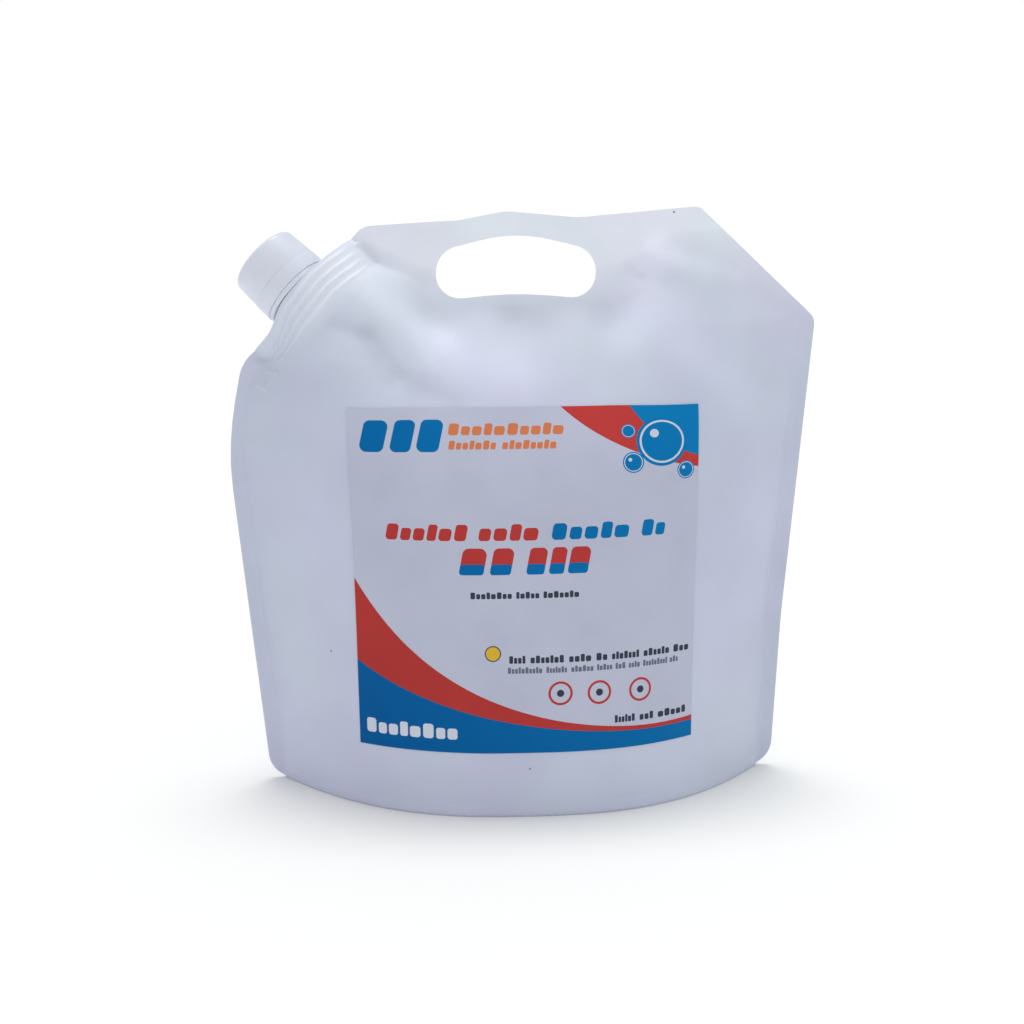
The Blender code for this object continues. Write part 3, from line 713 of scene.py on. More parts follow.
def lens_half_depth(distance, half_length, half_depth):
    """Half the thickness of a lens of two arcs at distances from its middle."""
    radius = lens_radius(half_length, half_depth)
    within = np.minimum(np.abs(distance), half_length)
    return np.maximum(np.sqrt(radius ** 2 - within ** 2) - (radius - half_depth), 0.0)


def belly_top(x):
    """Height at which the belly ends, just under the hand hole and higher beside it."""
    beside = (np.abs(x - HOLE_CENTRE_X) - HOLE_WIDTH / 2) / BELLY_SIDE_REACH
    return hole_foot() - BELLY_HOLE_GAP + BELLY_SIDE_RISE * smooth(beside)


def belly_crest(x, z):
    """Share of the belly's full depth that is left at a height."""
    rise = np.clip(np.maximum(z, 0.0) / belly_top(x), 0.0, 1.0)
    return (1 - rise ** BELLY_RISE_POWER) ** BELLY_FADE_POWER


def fullness(x, z):
    """From 0 where the films lie together to 1 where the whole depth of the belly stands behind the film."""
    return np.sqrt(np.clip((belly_top(x) - z + FULLNESS_START) / FULLNESS_REACH, 0.0, 1.0))


def film_half_depth(x, z):
    """How far the film stands out of the seam plane, belly and spout channel blended."""
    corners = outline_corners()
    left_side, right_side = corners[:4], corners[:6:-1]
    left = edge_x(z, left_side) + SEAL_WIDTH
    right = edge_x(z, right_side) - SEAL_WIDTH
    across = np.clip(np.abs(2 * x - left - right) / (right - left), 0.0, 1.0)
    belly = BASE_DEPTH / 2 * belly_crest(x, z) * (1 - across ** BELLY_SIDE_POWER)
    out, along = chamfer_place(x, z)
    inward = np.maximum(0.0, -out + WELD_TOP - WELD_HEIGHT)
    half_length = WELD_LENGTH / 2 + WELD_MARGIN + CHANNEL_SPREAD * inward
    half_depth = WELD_DEPTH / 2 + CLEARANCE + FILM_THICKNESS
    fade = 1 - np.minimum(inward / CHANNEL_LENGTH, 1.0)
    channel = fade * lens_half_depth(along, half_length, half_depth)
    return SEAL_THICKNESS / 2 + (belly ** BLEND_POWER + channel ** BLEND_POWER) ** (1 / BLEND_POWER)


def leaned(points):
    """Where points (x, y, z) of the flat pouch lie once the spout's corner is bent back."""
    out, _ = flat_directions()
    past = (points[:, [0, 2]] - flat_seat()) @ out + LEAN_START
    zone = LEAN_START - LEAN_END
    radius = zone / CORNER_LEAN
    angle = np.clip(past, 0.0, zone) / radius
    straight = np.maximum(past - zone, 0.0)
    reach = radius * np.sin(angle) + straight * np.cos(angle)
    back = radius * (1 - np.cos(angle)) + straight * np.sin(angle)
    shift = np.where(past > 0, reach - past, 0.0) - np.sin(angle) * points[:, 1]
    result = points.copy()
    result[:, 0] += out[0] * shift
    result[:, 2] += out[1] * shift
    result[:, 1] = np.where(past > 0, back + np.cos(angle) * points[:, 1], points[:, 1])
    return result


def pinch(place):
    """How far the chamfer is drawn in at places up along it."""
    return PINCH_DEPTH * np.exp(-(((place - PINCH_PLACE) / PINCH_REACH) ** 2))


def pinched(x, z):
    """Film places (x, z), drawn in beside the weld's low end."""
    height, place = chamfer_place(x, z)
    pull = pinch(place) * smooth(1 + height / PINCH_FADE)
    out, _ = flat_directions()
    return x - out[0] * pull, z - out[1] * pull


def spout_frame():
    """The spout's placement on the leaning corner: Z its axis, X down the chamfer."""
    out, along = flat_directions()
    seat = flat_seat()
    axis = Vector((out[0], 0.0, out[1])) * math.cos(CORNER_LEAN) + Vector((0.0, math.sin(CORNER_LEAN), 0.0))
    down = Vector((-along[0], 0.0, -along[1]))
    turn = Matrix((down, axis.cross(down), axis)).transposed()
    place = leaned(np.array(((seat[0], 0.0, seat[1]),)))[0]
    return Matrix.Translation(place) @ turn.to_4x4()


# Relief of the film


def point_tree(points):
    """A search tree over flat points."""
    tree = KDTree(len(points))
    for index, (across, up) in enumerate(points):
        tree.insert((across, up, 0.0), index)
    tree.balance()
    return tree


def inside(points, outline):
    """Which points lie inside a closed outline."""
    result = np.zeros(len(points), bool)
    across, up = points[:, 0], points[:, 1]
    for (x0, z0), (x1, z1) in zip(outline, np.roll(outline, -1, axis=0)):
        if z0 != z1:
            crosses = (z0 > up) != (z1 > up)
            result ^= crosses & (across < x0 + (up - z0) * (x1 - x0) / (z1 - z0))
    return result


def rib_heights():
    """Middles of the weld ribs down the spout axis."""
    pitch = (WELD_HEIGHT - WELD_RIB_WIDTH) / (WELD_RIB_COUNT - 1)
    return [WELD_TOP - WELD_RIB_WIDTH / 2 - pitch * index for index in range(WELD_RIB_COUNT)]


def weld_ends(along):
    """From 1 over the middle of the weld base to 0 past its ends."""
    return smooth((WELD_LENGTH / 2 + WELD_MARGIN - np.abs(along)) / WELD_END_FADE)


def rib_ridges(out, along, half_width):
    """Share of the slightly wavering ridges over the weld ribs."""
    waver = sum(size * np.sin(2 * math.pi * (along / length + phase)) for size, length, phase in RIB_WAVER)
    return sum(np.exp(-(((out + waver - height) / half_width) ** 2)) for height in rib_heights())


def rib_relief(x, z):
    """Rise of the weld ribs that show through the film."""
    out, along = chamfer_place(x, z)
    ridges = rib_ridges(out, along, WELD_RIB_WIDTH / 2)
    return FILM_RIB_RISE * ridges * weld_ends(along)


def weld_whiteness(x, z):
    """Share of white in the film where it is welded to the ribbed base, least between the ribs as painted
    shade in the grooves.
    """
    out, along = chamfer_place(x, z)
    depth = smooth((out - WELD_TOP + WELD_HEIGHT + 2 * WELD_MARGIN) / WELD_MARGIN)
    ridges = rib_ridges(out, along, WELD_RIB_WIDTH)
    high = WELD_LOW_WHITE + (1 - WELD_LOW_WHITE) * smooth(along / WELD_LENGTH + 0.5)
    # Less white between the ribs: painted shade in the grooves
    white = WELD_GROOVE_WHITE + (1 - WELD_GROOVE_WHITE) * np.minimum(ridges, 1.0)
    return weld_ends(along) * depth * high * white


def wave_relief(x, z, waves):
    """Slow swells of the filled film."""
    total = np.zeros(len(x))
    for length, direction, phase, share in waves:
        angle = math.radians(direction)
        travel = (x * math.cos(angle) + z * math.sin(angle)) / length
        total += share * np.sin(2 * math.pi * (travel + phase))
    return total


def fold_relief(x, z):
    """Rise of the front film's folds and dents."""
    points = np.column_stack((x, z))
    total = np.zeros(len(x))
    for start, end, half_width, rise in FRONT_FOLDS:
        start, span = np.array(start), np.array(end) - np.array(start)
        share = np.clip((points - start) @ span / (span @ span), 0.0, 1.0)
        apart = points - start - share[:, None] * span
        total += rise * np.exp(-(apart ** 2).sum(axis=1) / half_width ** 2)
    return total


class FilmForm:
    """The film's surfaces with their relief."""

    def __init__(self, settings):
        self.settings = settings
        self.outline = resampled(rounded(outline_corners()), EDGE_STEP)
        self.hole = resampled(rounded(hole_corners()), EDGE_STEP)
        rims = [resampled(loop, EDGE_SAMPLE_STEP) for loop in (self.outline, self.hole)]
        self.rim_tree = point_tree(np.vstack(rims))

    def edge_distance(self, x, z):
        """Distances of film points from the nearest rim."""
        return np.array([self.rim_tree.find((across, up, 0.0))[2] for across, up in zip(x, z)])

    def half_depth(self, x, z, front):
        """Distance of the front or back film from the seam plane."""
        edge = self.edge_distance(x, z)
        loose = smooth((edge - SEAL_WIDTH / 2) / LOOSE_REACH)
        waves = wave_relief(x, z, FRONT_WAVES if front else BACK_WAVES)
        relief = self.settings.wave_rise * waves * loose
        if front:
            relief = relief + self.settings.fold_share * fold_relief(x, z) * smooth(edge / SEAL_WIDTH)
        rounding = self.settings.foot_rounding
        low = np.clip(rounding - z, 0.0, rounding)
        inset = rounding - np.sqrt(rounding ** 2 - low ** 2)
        depth = film_half_depth(x, z) + rib_relief(x, z) + relief
        return np.maximum(depth - inset, SEAL_THICKNESS / 2)

    def front(self, x, z):
        """Points (x, y, z) of the front film."""
        across, up = pinched(x, z)
        return leaned(np.column_stack((across, -self.half_depth(x, z, True), up)))

    def back(self, x, z):
        """Points (x, y, z) of the back film."""
        across, up = pinched(x, z)
        return leaned(np.column_stack((across, self.half_depth(x, z, False), up)))


def resampled(points, step):
    """A closed outline with points at even steps of about the given length."""
    closed = np.vstack((points, points[:1]))
    lengths = np.hypot(*np.diff(closed, axis=0).T)
    places = np.concatenate(((0.0,), np.cumsum(lengths)))
    at = np.linspace(0.0, places[-1], round(places[-1] / step), endpoint=False)
    return np.column_stack([np.interp(at, places, closed[:, axis]) for axis in (0, 1)])


def triangulated(loops, inner):
    """Points and triangles of a flat area through its border loops and inner points."""
    points = [Vector(point) for loop in loops for point in loop]
    edges = []
    first = 0
    for loop in loops:
        count = len(loop)
        edges += [(first + index, first + (index + 1) % count) for index in range(count)]
        first += count
    points += [Vector(point) for point in inner]
    result = delaunay_2d_cdt(points, edges, [], 0, MERGE_REACH)
    return np.array([tuple(point) for point in result[0]]), np.array(result[2])


# Building of pieces


def new_piece(name, points, faces, material, body):
    """A mesh piece that rides on a body and takes its finish from a slot."""
    mesh = bpy.data.meshes.new(name)
    mesh.from_pydata([tuple(point) for point in points], [], [tuple(map(int, face)) for face in faces])
    form = bmesh.new()
    form.from_mesh(mesh)
    bmesh.ops.recalc_face_normals(form, faces=form.faces)
    form.to_mesh(mesh)
    form.free()
    mesh.shade_smooth()
    mesh.set_sharp_from_angle(angle=SHARP_ANGLE)
    mesh.materials.append(material)
    piece = bpy.data.objects.new(name, mesh)
    bpy.context.scene.collection.objects.link(piece)
    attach(piece, body)
    return piece


def grid_points(low, high, step):
    """Points of a staggered grid over a flat rectangle."""
    rows = np.arange(low[1], high[1], step * math.sqrt(3) / 2)
    columns = np.arange(low[0], high[0], step)
    points = []
    for index, up in enumerate(rows):
        points.append(np.column_stack((columns + step / 2 * (index % 2), np.full(len(columns), up))))
    return np.vstack(points)


def over_ribs(x, z):
    """Which film points lie over the weld base."""
    out, along = chamfer_place(x, z)
    deep = out > WELD_TOP - WELD_HEIGHT - WELD_MARGIN
    return deep & (np.abs(along) < WELD_LENGTH / 2 + WELD_MARGIN)


def rib_points():
    """Points over the weld base, close across its ribs and wider along them."""
    out, along = flat_directions()
    deep = np.arange(WELD_TOP - WELD_HEIGHT - WELD_MARGIN, 0.0, RIB_STEP)
    run = np.arange(-WELD_LENGTH / 2 - WELD_MARGIN, WELD_LENGTH / 2 + WELD_MARGIN, RIB_RUN_STEP)
    return np.array([flat_seat() + out * height + along * place for height in deep for place in run])


def film_points(form, step):
    """Inner points of the film: an even grid, refined over the weld ribs, the fine folds and the foot."""
    grid = grid_points(form.outline.min(axis=0), form.outline.max(axis=0), step)
    grid = grid[~over_ribs(grid[:, 0], grid[:, 1])]
    patches = []
    for middle, reach in FINE_PATCHES:
        middle = np.array(middle)
        grid = grid[np.hypot(*(grid - middle).T) > reach]
        patch = grid_points(middle - reach, middle + reach, PATCH_STEP)
        patches.append(patch[np.hypot(*(patch - middle).T) < reach])
    points = np.vstack([grid, rib_points(), *patches])
    foot = form.settings.foot_rounding
    row = np.arange(-BASE_LEFT, BASE_RIGHT, step)
    rows = [np.column_stack((row, np.full(len(row), foot * share))) for share in FOOT_ROWS]
    points = np.vstack([points[points[:, 1] >= foot], *rows])
    points = points[inside(points, form.outline) & ~inside(points, form.hole)]
    clear = form.edge_distance(points[:, 0], points[:, 1]) > EDGE_STEP / 2
    return points[clear | (points[:, 1] < foot)]


def film_layout(form, step):
    """Flat points (x, z) and triangles of one side of the pouch, open at the hand hole."""
    flat, triangles = triangulated((form.outline, form.hole), film_points(form, step))
    middles = flat[triangles].mean(axis=1)
    used, triangles = compacted(triangles[inside(middles, form.outline) & ~inside(middles, form.hole)])
    return flat[used], triangles


def compacted(triangles):
    """The points that triangles use, and the same triangles counted in those points alone."""
    used, numbers = np.unique(triangles, return_inverse=True)
    return used, numbers.reshape(triangles.shape)


def border_edges(triangles):
    """Directed edges that only one triangle uses."""
    edges = np.vstack((triangles[:, [0, 1]], triangles[:, [1, 2]], triangles[:, [2, 0]])).tolist()
    used = {(start, end) for start, end in edges}
    return [(start, end) for start, end in edges if (end, start) not in used]


def pocket_steps(x, z):
    """Points from the front film's edge through the weld pocket to the back film's edge, or none."""
    out, _ = flat_directions()
    height, place = chamfer_place(np.array((x,)), np.array((z,)))
    half = lens_half_depth(place, WELD_LENGTH / 2 + CLEARANCE, WELD_DEPTH / 2 + CLEARANCE)[0]
    if half < CLEARANCE or abs(height[0]) > CLEARANCE:
        return []
    depth = WELD_HEIGHT - WELD_TOP + CLEARANCE
    low_x, low_z = np.array((x, z)) - out * depth
    across, up = (float(value[0]) for value in pinched(np.array((x,)), np.array((z,))))
    flat = np.array(((across, -half, up), (low_x, -half, low_z), (low_x, half, low_z), (across, half, up)))
    return leaned(flat)


def rim_ladders(flat, borders):
    """For each rim point its mesh points from front to back film, and all the pocket's own points."""
    count = len(flat)
    ladders, pocket = {}, []
    for vertex in {vertex for edge in borders for vertex in edge}:
        first = 2 * count + len(pocket)
        pocket += list(pocket_steps(*flat[vertex]))
        ladders[vertex] = [vertex, *range(first, 2 * count + len(pocket)), vertex + count]
    return ladders, pocket


def rim_faces(borders, ladders):
    """Faces that close the rims between the front and back film."""
    faces = []
    for start, end in borders:
        first, second = ladders[start], ladders[end]
        if len(first) == len(second):
            for (a, b), (c, d) in zip(zip(first, first[1:]), zip(second, second[1:])):
                faces.append((a, b, d, c))
        elif len(first) < len(second):
            faces += [(first[0], second[step + 1], second[step]) for step in range(len(second) - 2)]
            faces.append((first[0], first[1], second[-1], second[-2]))
        else:
            faces += [(second[0], first[step], first[step + 1]) for step in range(len(first) - 2)]
            faces.append((second[0], first[-2], first[-1], second[1]))
    return faces


def build_film(context):
    """The pouch: front and back film, base, seams, hand hole and weld pocket in one closed mesh."""
    settings = context.scene.pouch_film
    form = FilmForm(settings)
    flat, triangles = film_layout(form, settings.grid_step)
    x, z = flat[:, 0], flat[:, 1]
    borders = border_edges(triangles)
    ladders, pocket = rim_ladders(flat, borders)
    points = np.vstack([form.front(x, z), form.back(x, z), *pocket])
    faces = triangles.tolist() + (triangles[:, ::-1] + len(flat)).tolist() + rim_faces(borders, ladders)
    pouch = new_piece("pouch_film", points, faces, film_material(settings), "pouch_body")
    # Values that paint light on the film: fullness for the light shining through the flat film, weld_white
    # for the painted shade between the weld ribs, fold_rise for the painted highlight on folds and painted
    # shade in dents
    sides = {
        "fullness": (fullness(x, z), fullness(x, z)),
        "edge_distance": (form.edge_distance(x, z), form.edge_distance(x, z)),
        "weld_white": (weld_whiteness(x, z), weld_whiteness(x, z)),
        "fold_rise": (fold_relief(x, z), np.zeros(len(flat))),
    }
    for name, (front, back) in sides.items():
        values = np.concatenate((front, back, np.zeros(len(pocket))))
        layer = pouch.data.attributes.new(name, "FLOAT", "POINT")
        layer.data.foreach_set("value", values.astype(np.float32))
    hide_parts("pouch")


def at_height(ring, height):
    """Points of a flat ring at a height."""
    return [(across, through, height) for across, through in ring]


def turned_faces(profile, closed):
    """Points and faces of a profile (radius, height) turned about Z; radius 0 closes at a pole."""
    points, rings = [], []
    for radius, height in profile:
        if radius <= 0.0:
            rings.append([len(points)])
            points.append((0.0, 0.0, height))
        else:
            rings.append(range(len(points), len(points) + ROUND_STEPS))
            points += at_height(circle((0.0, 0.0), radius, ROUND_STEPS), height)
    faces = []
    pairs = list(zip(rings, rings[1:])) + ([(rings[-1], rings[0])] if closed else [])
    for first, second in pairs:
        for step in range(ROUND_STEPS):
            after = (step + 1) % ROUND_STEPS
            if len(first) == 1:
                faces.append((first[0], second[step], second[after]))
            elif len(second) == 1:
                faces.append((first[step], second[0], first[after]))
            else:
                faces.append((first[step], second[step], second[after], first[after]))
    return points, faces


def thread_faces(radius, foot, first_turn, turns, bead):
    """A round thread ridge with tapered ends that climbs one lead in each turn about Z."""
    count = round(2 * math.pi * turns / THREAD_STEP)
    points, faces = [], []
    for index in range(count + 1):
        turn = first_turn + turns * index / count
        angle = 2 * math.pi * turn
        taper = bead * float(smooth(min(index, count - index) / THREAD_TAPER_STEPS + THREAD_END_SHARE))
        for side in range(THREAD_SIDES):
            around = 2 * math.pi * side / THREAD_SIDES
            out = radius + taper * math.cos(around)
            height = foot + THREAD_LEAD * turn + taper * math.sin(around)
            points.append((out * math.cos(angle), out * math.sin(angle), height))
    for index in range(count):
        low, high = index * THREAD_SIDES, (index + 1) * THREAD_SIDES
        for side in range(THREAD_SIDES):
            after = (side + 1) % THREAD_SIDES
            faces.append((low + side, low + after, high + after, high + side))
    faces.append(tuple(range(THREAD_SIDES)))
    faces.append(tuple(range(count * THREAD_SIDES, (count + 1) * THREAD_SIDES)))
    return points, faces


def joined(parts):
    """Points and faces of several closed forms as one list."""
    points, faces = [], []
    for part_points, part_faces in parts:
        first = len(points)
        points += list(part_points)
        faces += [tuple(first + index for index in face) for face in part_faces]
    return points, faces


def moulded_piece(name, parts, settings, body):
    """A moulded white piece of closed forms, stood on the spout's axis."""
    points, faces = joined(parts)
    place = spout_frame()
    points = [place @ Vector(point) for point in points]
    return new_piece(name, points, faces, moulded_material(settings), body)


def build_spout(context):
    """Neck, retaining bead, flange, thread and ribbed weld base."""
    settings = context.scene.pouch_spout
    bead_foot = RING_FOOT + RING_LIP_HEIGHT + CLEARANCE
    flange_head = RING_FOOT - RING_SKIRT - FLANGE_GAP
    flange_radius = RING_RADIUS - FLANGE_STEP
    foot = WELD_TOP - WELD_HEIGHT
    edge = settings.edge_rounding
    neck = rounded((
        (BORE_RADIUS, foot, 0.0),
        (NECK_RADIUS, foot, 0.0),
        (NECK_RADIUS, WELD_TOP, 0.0),
        (COLLAR_RADIUS, WELD_TOP, 0.0),
        (COLLAR_RADIUS, FLANGE_FOOT, 0.0),
        (flange_radius, FLANGE_FOOT, edge),
        (flange_radius, flange_head, edge / 2),
        (NECK_RADIUS, flange_head, edge),
        (NECK_RADIUS, bead_foot, 0.0),
        (NECK_RADIUS + BEAD_RISE, bead_foot, edge / 2),
        (NECK_RADIUS + BEAD_RISE, bead_foot + BEAD_HEIGHT / 2, edge),
        (NECK_RADIUS, bead_foot + BEAD_HEIGHT, 0.0),
        (NECK_RADIUS, NECK_TOP, LIP_ROUNDING),
        (BORE_RADIUS, NECK_TOP, edge / 2),
    ), PROFILE_ARC_STEP)
    radius = NECK_RADIUS + THREAD_RISE - THREAD_BEAD
    thread = thread_faces(radius, THREAD_FOOT, 0.0, THREAD_TURNS, THREAD_BEAD)
    parts = [turned_faces(neck, True), thread, *weld_base_parts()]
    piece = moulded_piece("spout_body", parts, settings, "pouch_body")
    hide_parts("spout")


def weld_base_parts():
    """The boat-shaped core and its ribs round the bore, drawn in beside the weld's low end."""
    core_length = WELD_LENGTH / 2 - WELD_GROOVE_DEPTH
    core_depth = WELD_DEPTH / 2 - WELD_GROOVE_DEPTH
    low = WELD_TOP - WELD_HEIGHT + WELD_GROOVE_DEPTH / 2
    slabs = [bored_lens(core_length, core_depth, low, WELD_TOP - WELD_GROOVE_DEPTH / 2)]
    half = WELD_RIB_WIDTH / 2
    for height in rib_heights():
        slabs.append(bored_lens(WELD_LENGTH / 2, WELD_DEPTH / 2, height - half, height + half))
    parts = []
    for points, faces in slabs:
        drawn_in = [(across, through, height - pinch(-across)) for across, through, height in points]
        parts.append((drawn_in, faces))
    return parts


def bored_lens(half_length, half_depth, low, high):
    """A lens-shaped slab with a round bore through it."""
    radius = lens_radius(half_length, half_depth)
    offset = radius - half_depth
    bore = circle((0.0, 0.0), BORE_RADIUS, ROUND_STEPS)
    rim = []
    for index in range(ROUND_STEPS):
        # The lens's side is a circle about (0, -offset) above, (0, offset) below
        angle = 2 * math.pi * index / ROUND_STEPS
        across, through = math.cos(angle), abs(math.sin(angle))
        reach = -offset * through + math.sqrt(radius ** 2 - (offset * across) ** 2)
        rim.append((reach * across, math.copysign(reach * through, math.sin(angle))))
    points = []
    for ring in (rim, bore):
        for height in (low, high):
            points += at_height(ring, height)
    faces = []
    for index in range(ROUND_STEPS):
        after = (index + 1) % ROUND_STEPS
        rim_low, rim_high, bore_low, bore_high = (ROUND_STEPS * ring + index for ring in range(4))
        next_rim_low, next_rim_high, next_bore_low, next_bore_high = (
            ROUND_STEPS * ring + after for ring in range(4)
        )
        faces.append((rim_low, next_rim_low, next_rim_high, rim_high))
        faces.append((bore_low, bore_high, next_bore_high, next_bore_low))
        faces.append((rim_high, next_rim_high, next_bore_high, bore_high))
        faces.append((rim_low, bore_low, next_bore_low, next_rim_low))
    return points, faces


def build_ring(context):
    """The tamper ring, whose lip sits under the neck's bead."""
    settings = context.scene.pouch_spout
    edge = settings.edge_rounding
    head = CAP_FOOT - RING_CAP_GAP
    foot = RING_FOOT - RING_SKIRT
    profile = rounded((
        (NECK_RADIUS + CLEARANCE, foot, edge / 2),
        (RING_RADIUS, foot, edge),
        (RING_RADIUS, head, edge / 5),
        (RING_RADIUS - RING_WALL, head, edge / 2),
        (RING_RADIUS - RING_WALL, RING_FOOT + RING_LIP_HEIGHT, 0.0),
        (NECK_RADIUS + CLEARANCE, RING_FOOT + RING_LIP_HEIGHT, edge / 2),
    ), PROFILE_ARC_STEP)
    piece = moulded_piece("cap_ring", [turned_faces(profile, True)], settings, "pouch_body")
    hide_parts("tamper_ring")


def build_cap(context):
    """The screw cap: smooth tapered skirt, rounded end and inner thread."""
    settings = context.scene.pouch_spout
    edge = settings.edge_rounding
    head = CAP_FOOT + CAP_HEIGHT
    bore = NECK_RADIUS + THREAD_RISE + CLEARANCE
    profile = rounded((
        (0.0, head, 0.0),
        (CAP_END_RADIUS, head, CAP_END_ROUNDING),
        (CAP_FOOT_RADIUS, CAP_FOOT, edge / 5),
        (bore, CAP_FOOT, edge / 2),
        (bore, head - CAP_END_THICKNESS, edge),
        (0.0, head - CAP_END_THICKNESS, 0.0),
    ), PROFILE_ARC_STEP)
    radius = bore - CAP_THREAD_RISE + CAP_THREAD_BEAD
    foot = THREAD_FOOT - THREAD_LEAD / 2
    parts = [
        turned_faces(profile, False),
        thread_faces(radius, foot, CAP_THREAD_START_TURN, CAP_THREAD_TURNS, CAP_THREAD_BEAD),
    ]
    piece = moulded_piece("screw_cap", parts, settings, "cap_body")
    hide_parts("cap")


# Label


def film_slope(x, z, direction_x, direction_z):
    """How steeply the plain film swells in a direction."""
    ahead = film_half_depth(x + direction_x * SLOPE_REACH, z + direction_z * SLOPE_REACH)
    return (ahead - film_half_depth(x, z)) / SLOPE_REACH


def on_front(across, up):
    """Places (x, z) on the front film, from distances measured along the film."""
    z = np.full(len(up), LABEL_FOOT)
    centre = np.full(len(up), LABEL_CENTRE_X)
    for _ in range(WRAP_STEPS):
        z = z + up / WRAP_STEPS / np.hypot(1.0, film_slope(centre, z, 0, 1))
    x = centre
    for _ in range(WRAP_STEPS):
        x = x + across / WRAP_STEPS / np.hypot(1.0, film_slope(x, z, 1, 0))
    return x, z


def lifted(form, places, lift):
    """Points over the front film above label places (across, up)."""
    x, z = on_front(places[:, 0] - LABEL_WIDTH / 2, places[:, 1])
    here = form.front(x, z)
    across = form.front(x + SLOPE_REACH, z) - here
    upward = form.front(x, z + SLOPE_REACH) - here
    normal = np.cross(across, upward)
    normal /= np.linalg.norm(normal, axis=1)[:, None]
    return here + normal * lift


def bend(first, control, second):
    """Points of an edge from first to second that leaves and arrives heading for the control point."""
    shares = np.linspace(0.0, 1.0, BEND_STEPS + 1)[:, None]
    weights = ((1 - shares) ** 2, 2 * shares * (1 - shares), shares ** 2)
    return sum(weight * np.array(point) for weight, point in zip(weights, (first, control, second)))


def from_corner(left, down):
    """A place given by its distances from the label's top right corner."""
    return LABEL_WIDTH - left, LABEL_HEIGHT - down


def corner_bend(width, control, drop):
    """Points of an edge that cuts off the label's top right corner."""
    return bend(from_corner(width, 0.0), from_corner(*control), from_corner(0.0, drop))


def band_outlines():
    """The printed colour fields: piece name and outline, in painting order."""
    red_edge = bend((0.0, RED_LEFT_HEIGHT), RED_BEND, (LABEL_WIDTH, RED_RIGHT_HEIGHT))
    blue_edge = bend((0.0, BLUE_LEFT_HEIGHT), BLUE_BEND, (LABEL_WIDTH, BLUE_RIGHT_HEIGHT))
    corner_edge = corner_bend(CORNER_RED_WIDTH, CORNER_RED_BEND, CORNER_RED_DROP)
    corner_blue = corner_bend(CORNER_BLUE_WIDTH, CORNER_BLUE_BEND, CORNER_BLUE_DROP)
    foot = ((LABEL_WIDTH, 0.0), (0.0, 0.0))
    return [
        ("red_band", np.vstack((red_edge, blue_edge[::-1]))),
        ("blue_band", np.vstack((blue_edge, foot))),
        ("corner_red", np.vstack((corner_edge, corner_blue[::-1]))),
        ("corner_blue", np.vstack((corner_blue, (from_corner(0.0, 0.0),)))),
    ]


def circle(centre, radius, steps=CIRCLE_STEPS):
    """Even points round a circle."""
    angles = 2 * np.pi * np.arange(steps) / steps
    return np.array(centre) + radius * np.column_stack((np.cos(angles), np.sin(angles)))


def slanted_block(left, foot, width, height, slant, rounding):
    """A slanted block with rounded corners."""
    corners = ((0.0, 0.0), (0.0, height), (width, height), (width, 0.0))
    placed_corners = [(left + across + slant * up, foot + up, rounding) for across, up in corners]
    return rounded(placed_corners)


def row_blocks(foot, height, slant, words, rhythm):
    """Outlines of a row of printed blocks, whose heights follow a rhythm."""
    blocks = []
    index = 0
    for start, end, count in words:
        widths = [BLOCK_WIDTH_RHYTHM[(index + step) % len(BLOCK_WIDTH_RHYTHM)] for step in range(count)]
        pitch = (end - start) / sum(widths)
        left = start
        for width in widths:
            tall = rhythm[index % len(rhythm)]
            wide = pitch * width * BLOCK_SHARE
            rounding = BLOCK_ROUNDING * min(wide, height * tall)
            blocks.append(slanted_block(left, foot, wide, height * tall, slant, rounding))
            left += pitch * width
            index += 1
    return blocks


def print_outlines():
    """Blocks, bubbles and dots: piece name and outline, in painting order."""
    painted = []
    for rows, rhythm in ((BLOCK_ROWS, BLOCK_HEIGHT_RHYTHM), (LEVEL_ROWS, (1.0,))):
        for name, foot, height, slant, words in rows:
            painted += [(name, outline) for outline in row_blocks(foot, height, slant, words, rhythm)]
    for centre, radius, rings in ROUND_PRINT:
        painted += [(name, circle(centre, radius * share)) for name, share in rings]
    painted += [("white", circle(centre, radius, GLINT_STEPS)) for centre, radius in BUBBLE_GLINTS]
    return painted


def label_inks(settings):
    """Node of the frame, slot, colour low or left, and colour high or right, for each piece of the label;
    where they differ, the colour high or right is lighter as painted light.
    """
    return {
        "sheet": ("label", "label", settings.white, settings.white),
        "red_band": ("label_red_band", "print_red", settings.red, settings.painted_lit_red),
        "blue_band": ("label_blue_band", "print_blue", settings.blue, settings.painted_lit_blue),
        "corner_red": ("label_corner_red", "print_red", settings.red, settings.painted_lit_red),
        "corner_blue": ("label_corner_blue", "print_blue", settings.painted_lit_blue, settings.painted_lit_blue),
        "blue": (None, "print_blue", settings.blue, settings.painted_lit_blue),
        "red": (None, "print_red", settings.red, settings.painted_lit_red),
        "orange": (None, "print_red", settings.orange, settings.orange),
        "dark": (None, "label", settings.dark, settings.dark),
        "grey": (None, "label", settings.grey, settings.grey),
        "yellow": (None, "label", settings.yellow, settings.yellow),
        "white": (None, "label", settings.bare, settings.bare),
    }


def sheet_border(step):
    """Points round the label's sheet, its four corners among them."""
    corners = np.array(((0.0, 0.0), (LABEL_WIDTH, 0.0), (LABEL_WIDTH, LABEL_HEIGHT), (0.0, LABEL_HEIGHT)))
    border = np.vstack((resampled(corners, step), corners))
    order = np.argsort(np.arctan2(border[:, 1] - LABEL_HEIGHT / 2, border[:, 0] - LABEL_WIDTH / 2))
    return border[order]


def within_sheet(points, margin):
    """Which places on the label lie further inside its border than a margin."""
    return ((points > margin) & (points < np.array((LABEL_WIDTH, LABEL_HEIGHT)) - margin)).all(axis=1)


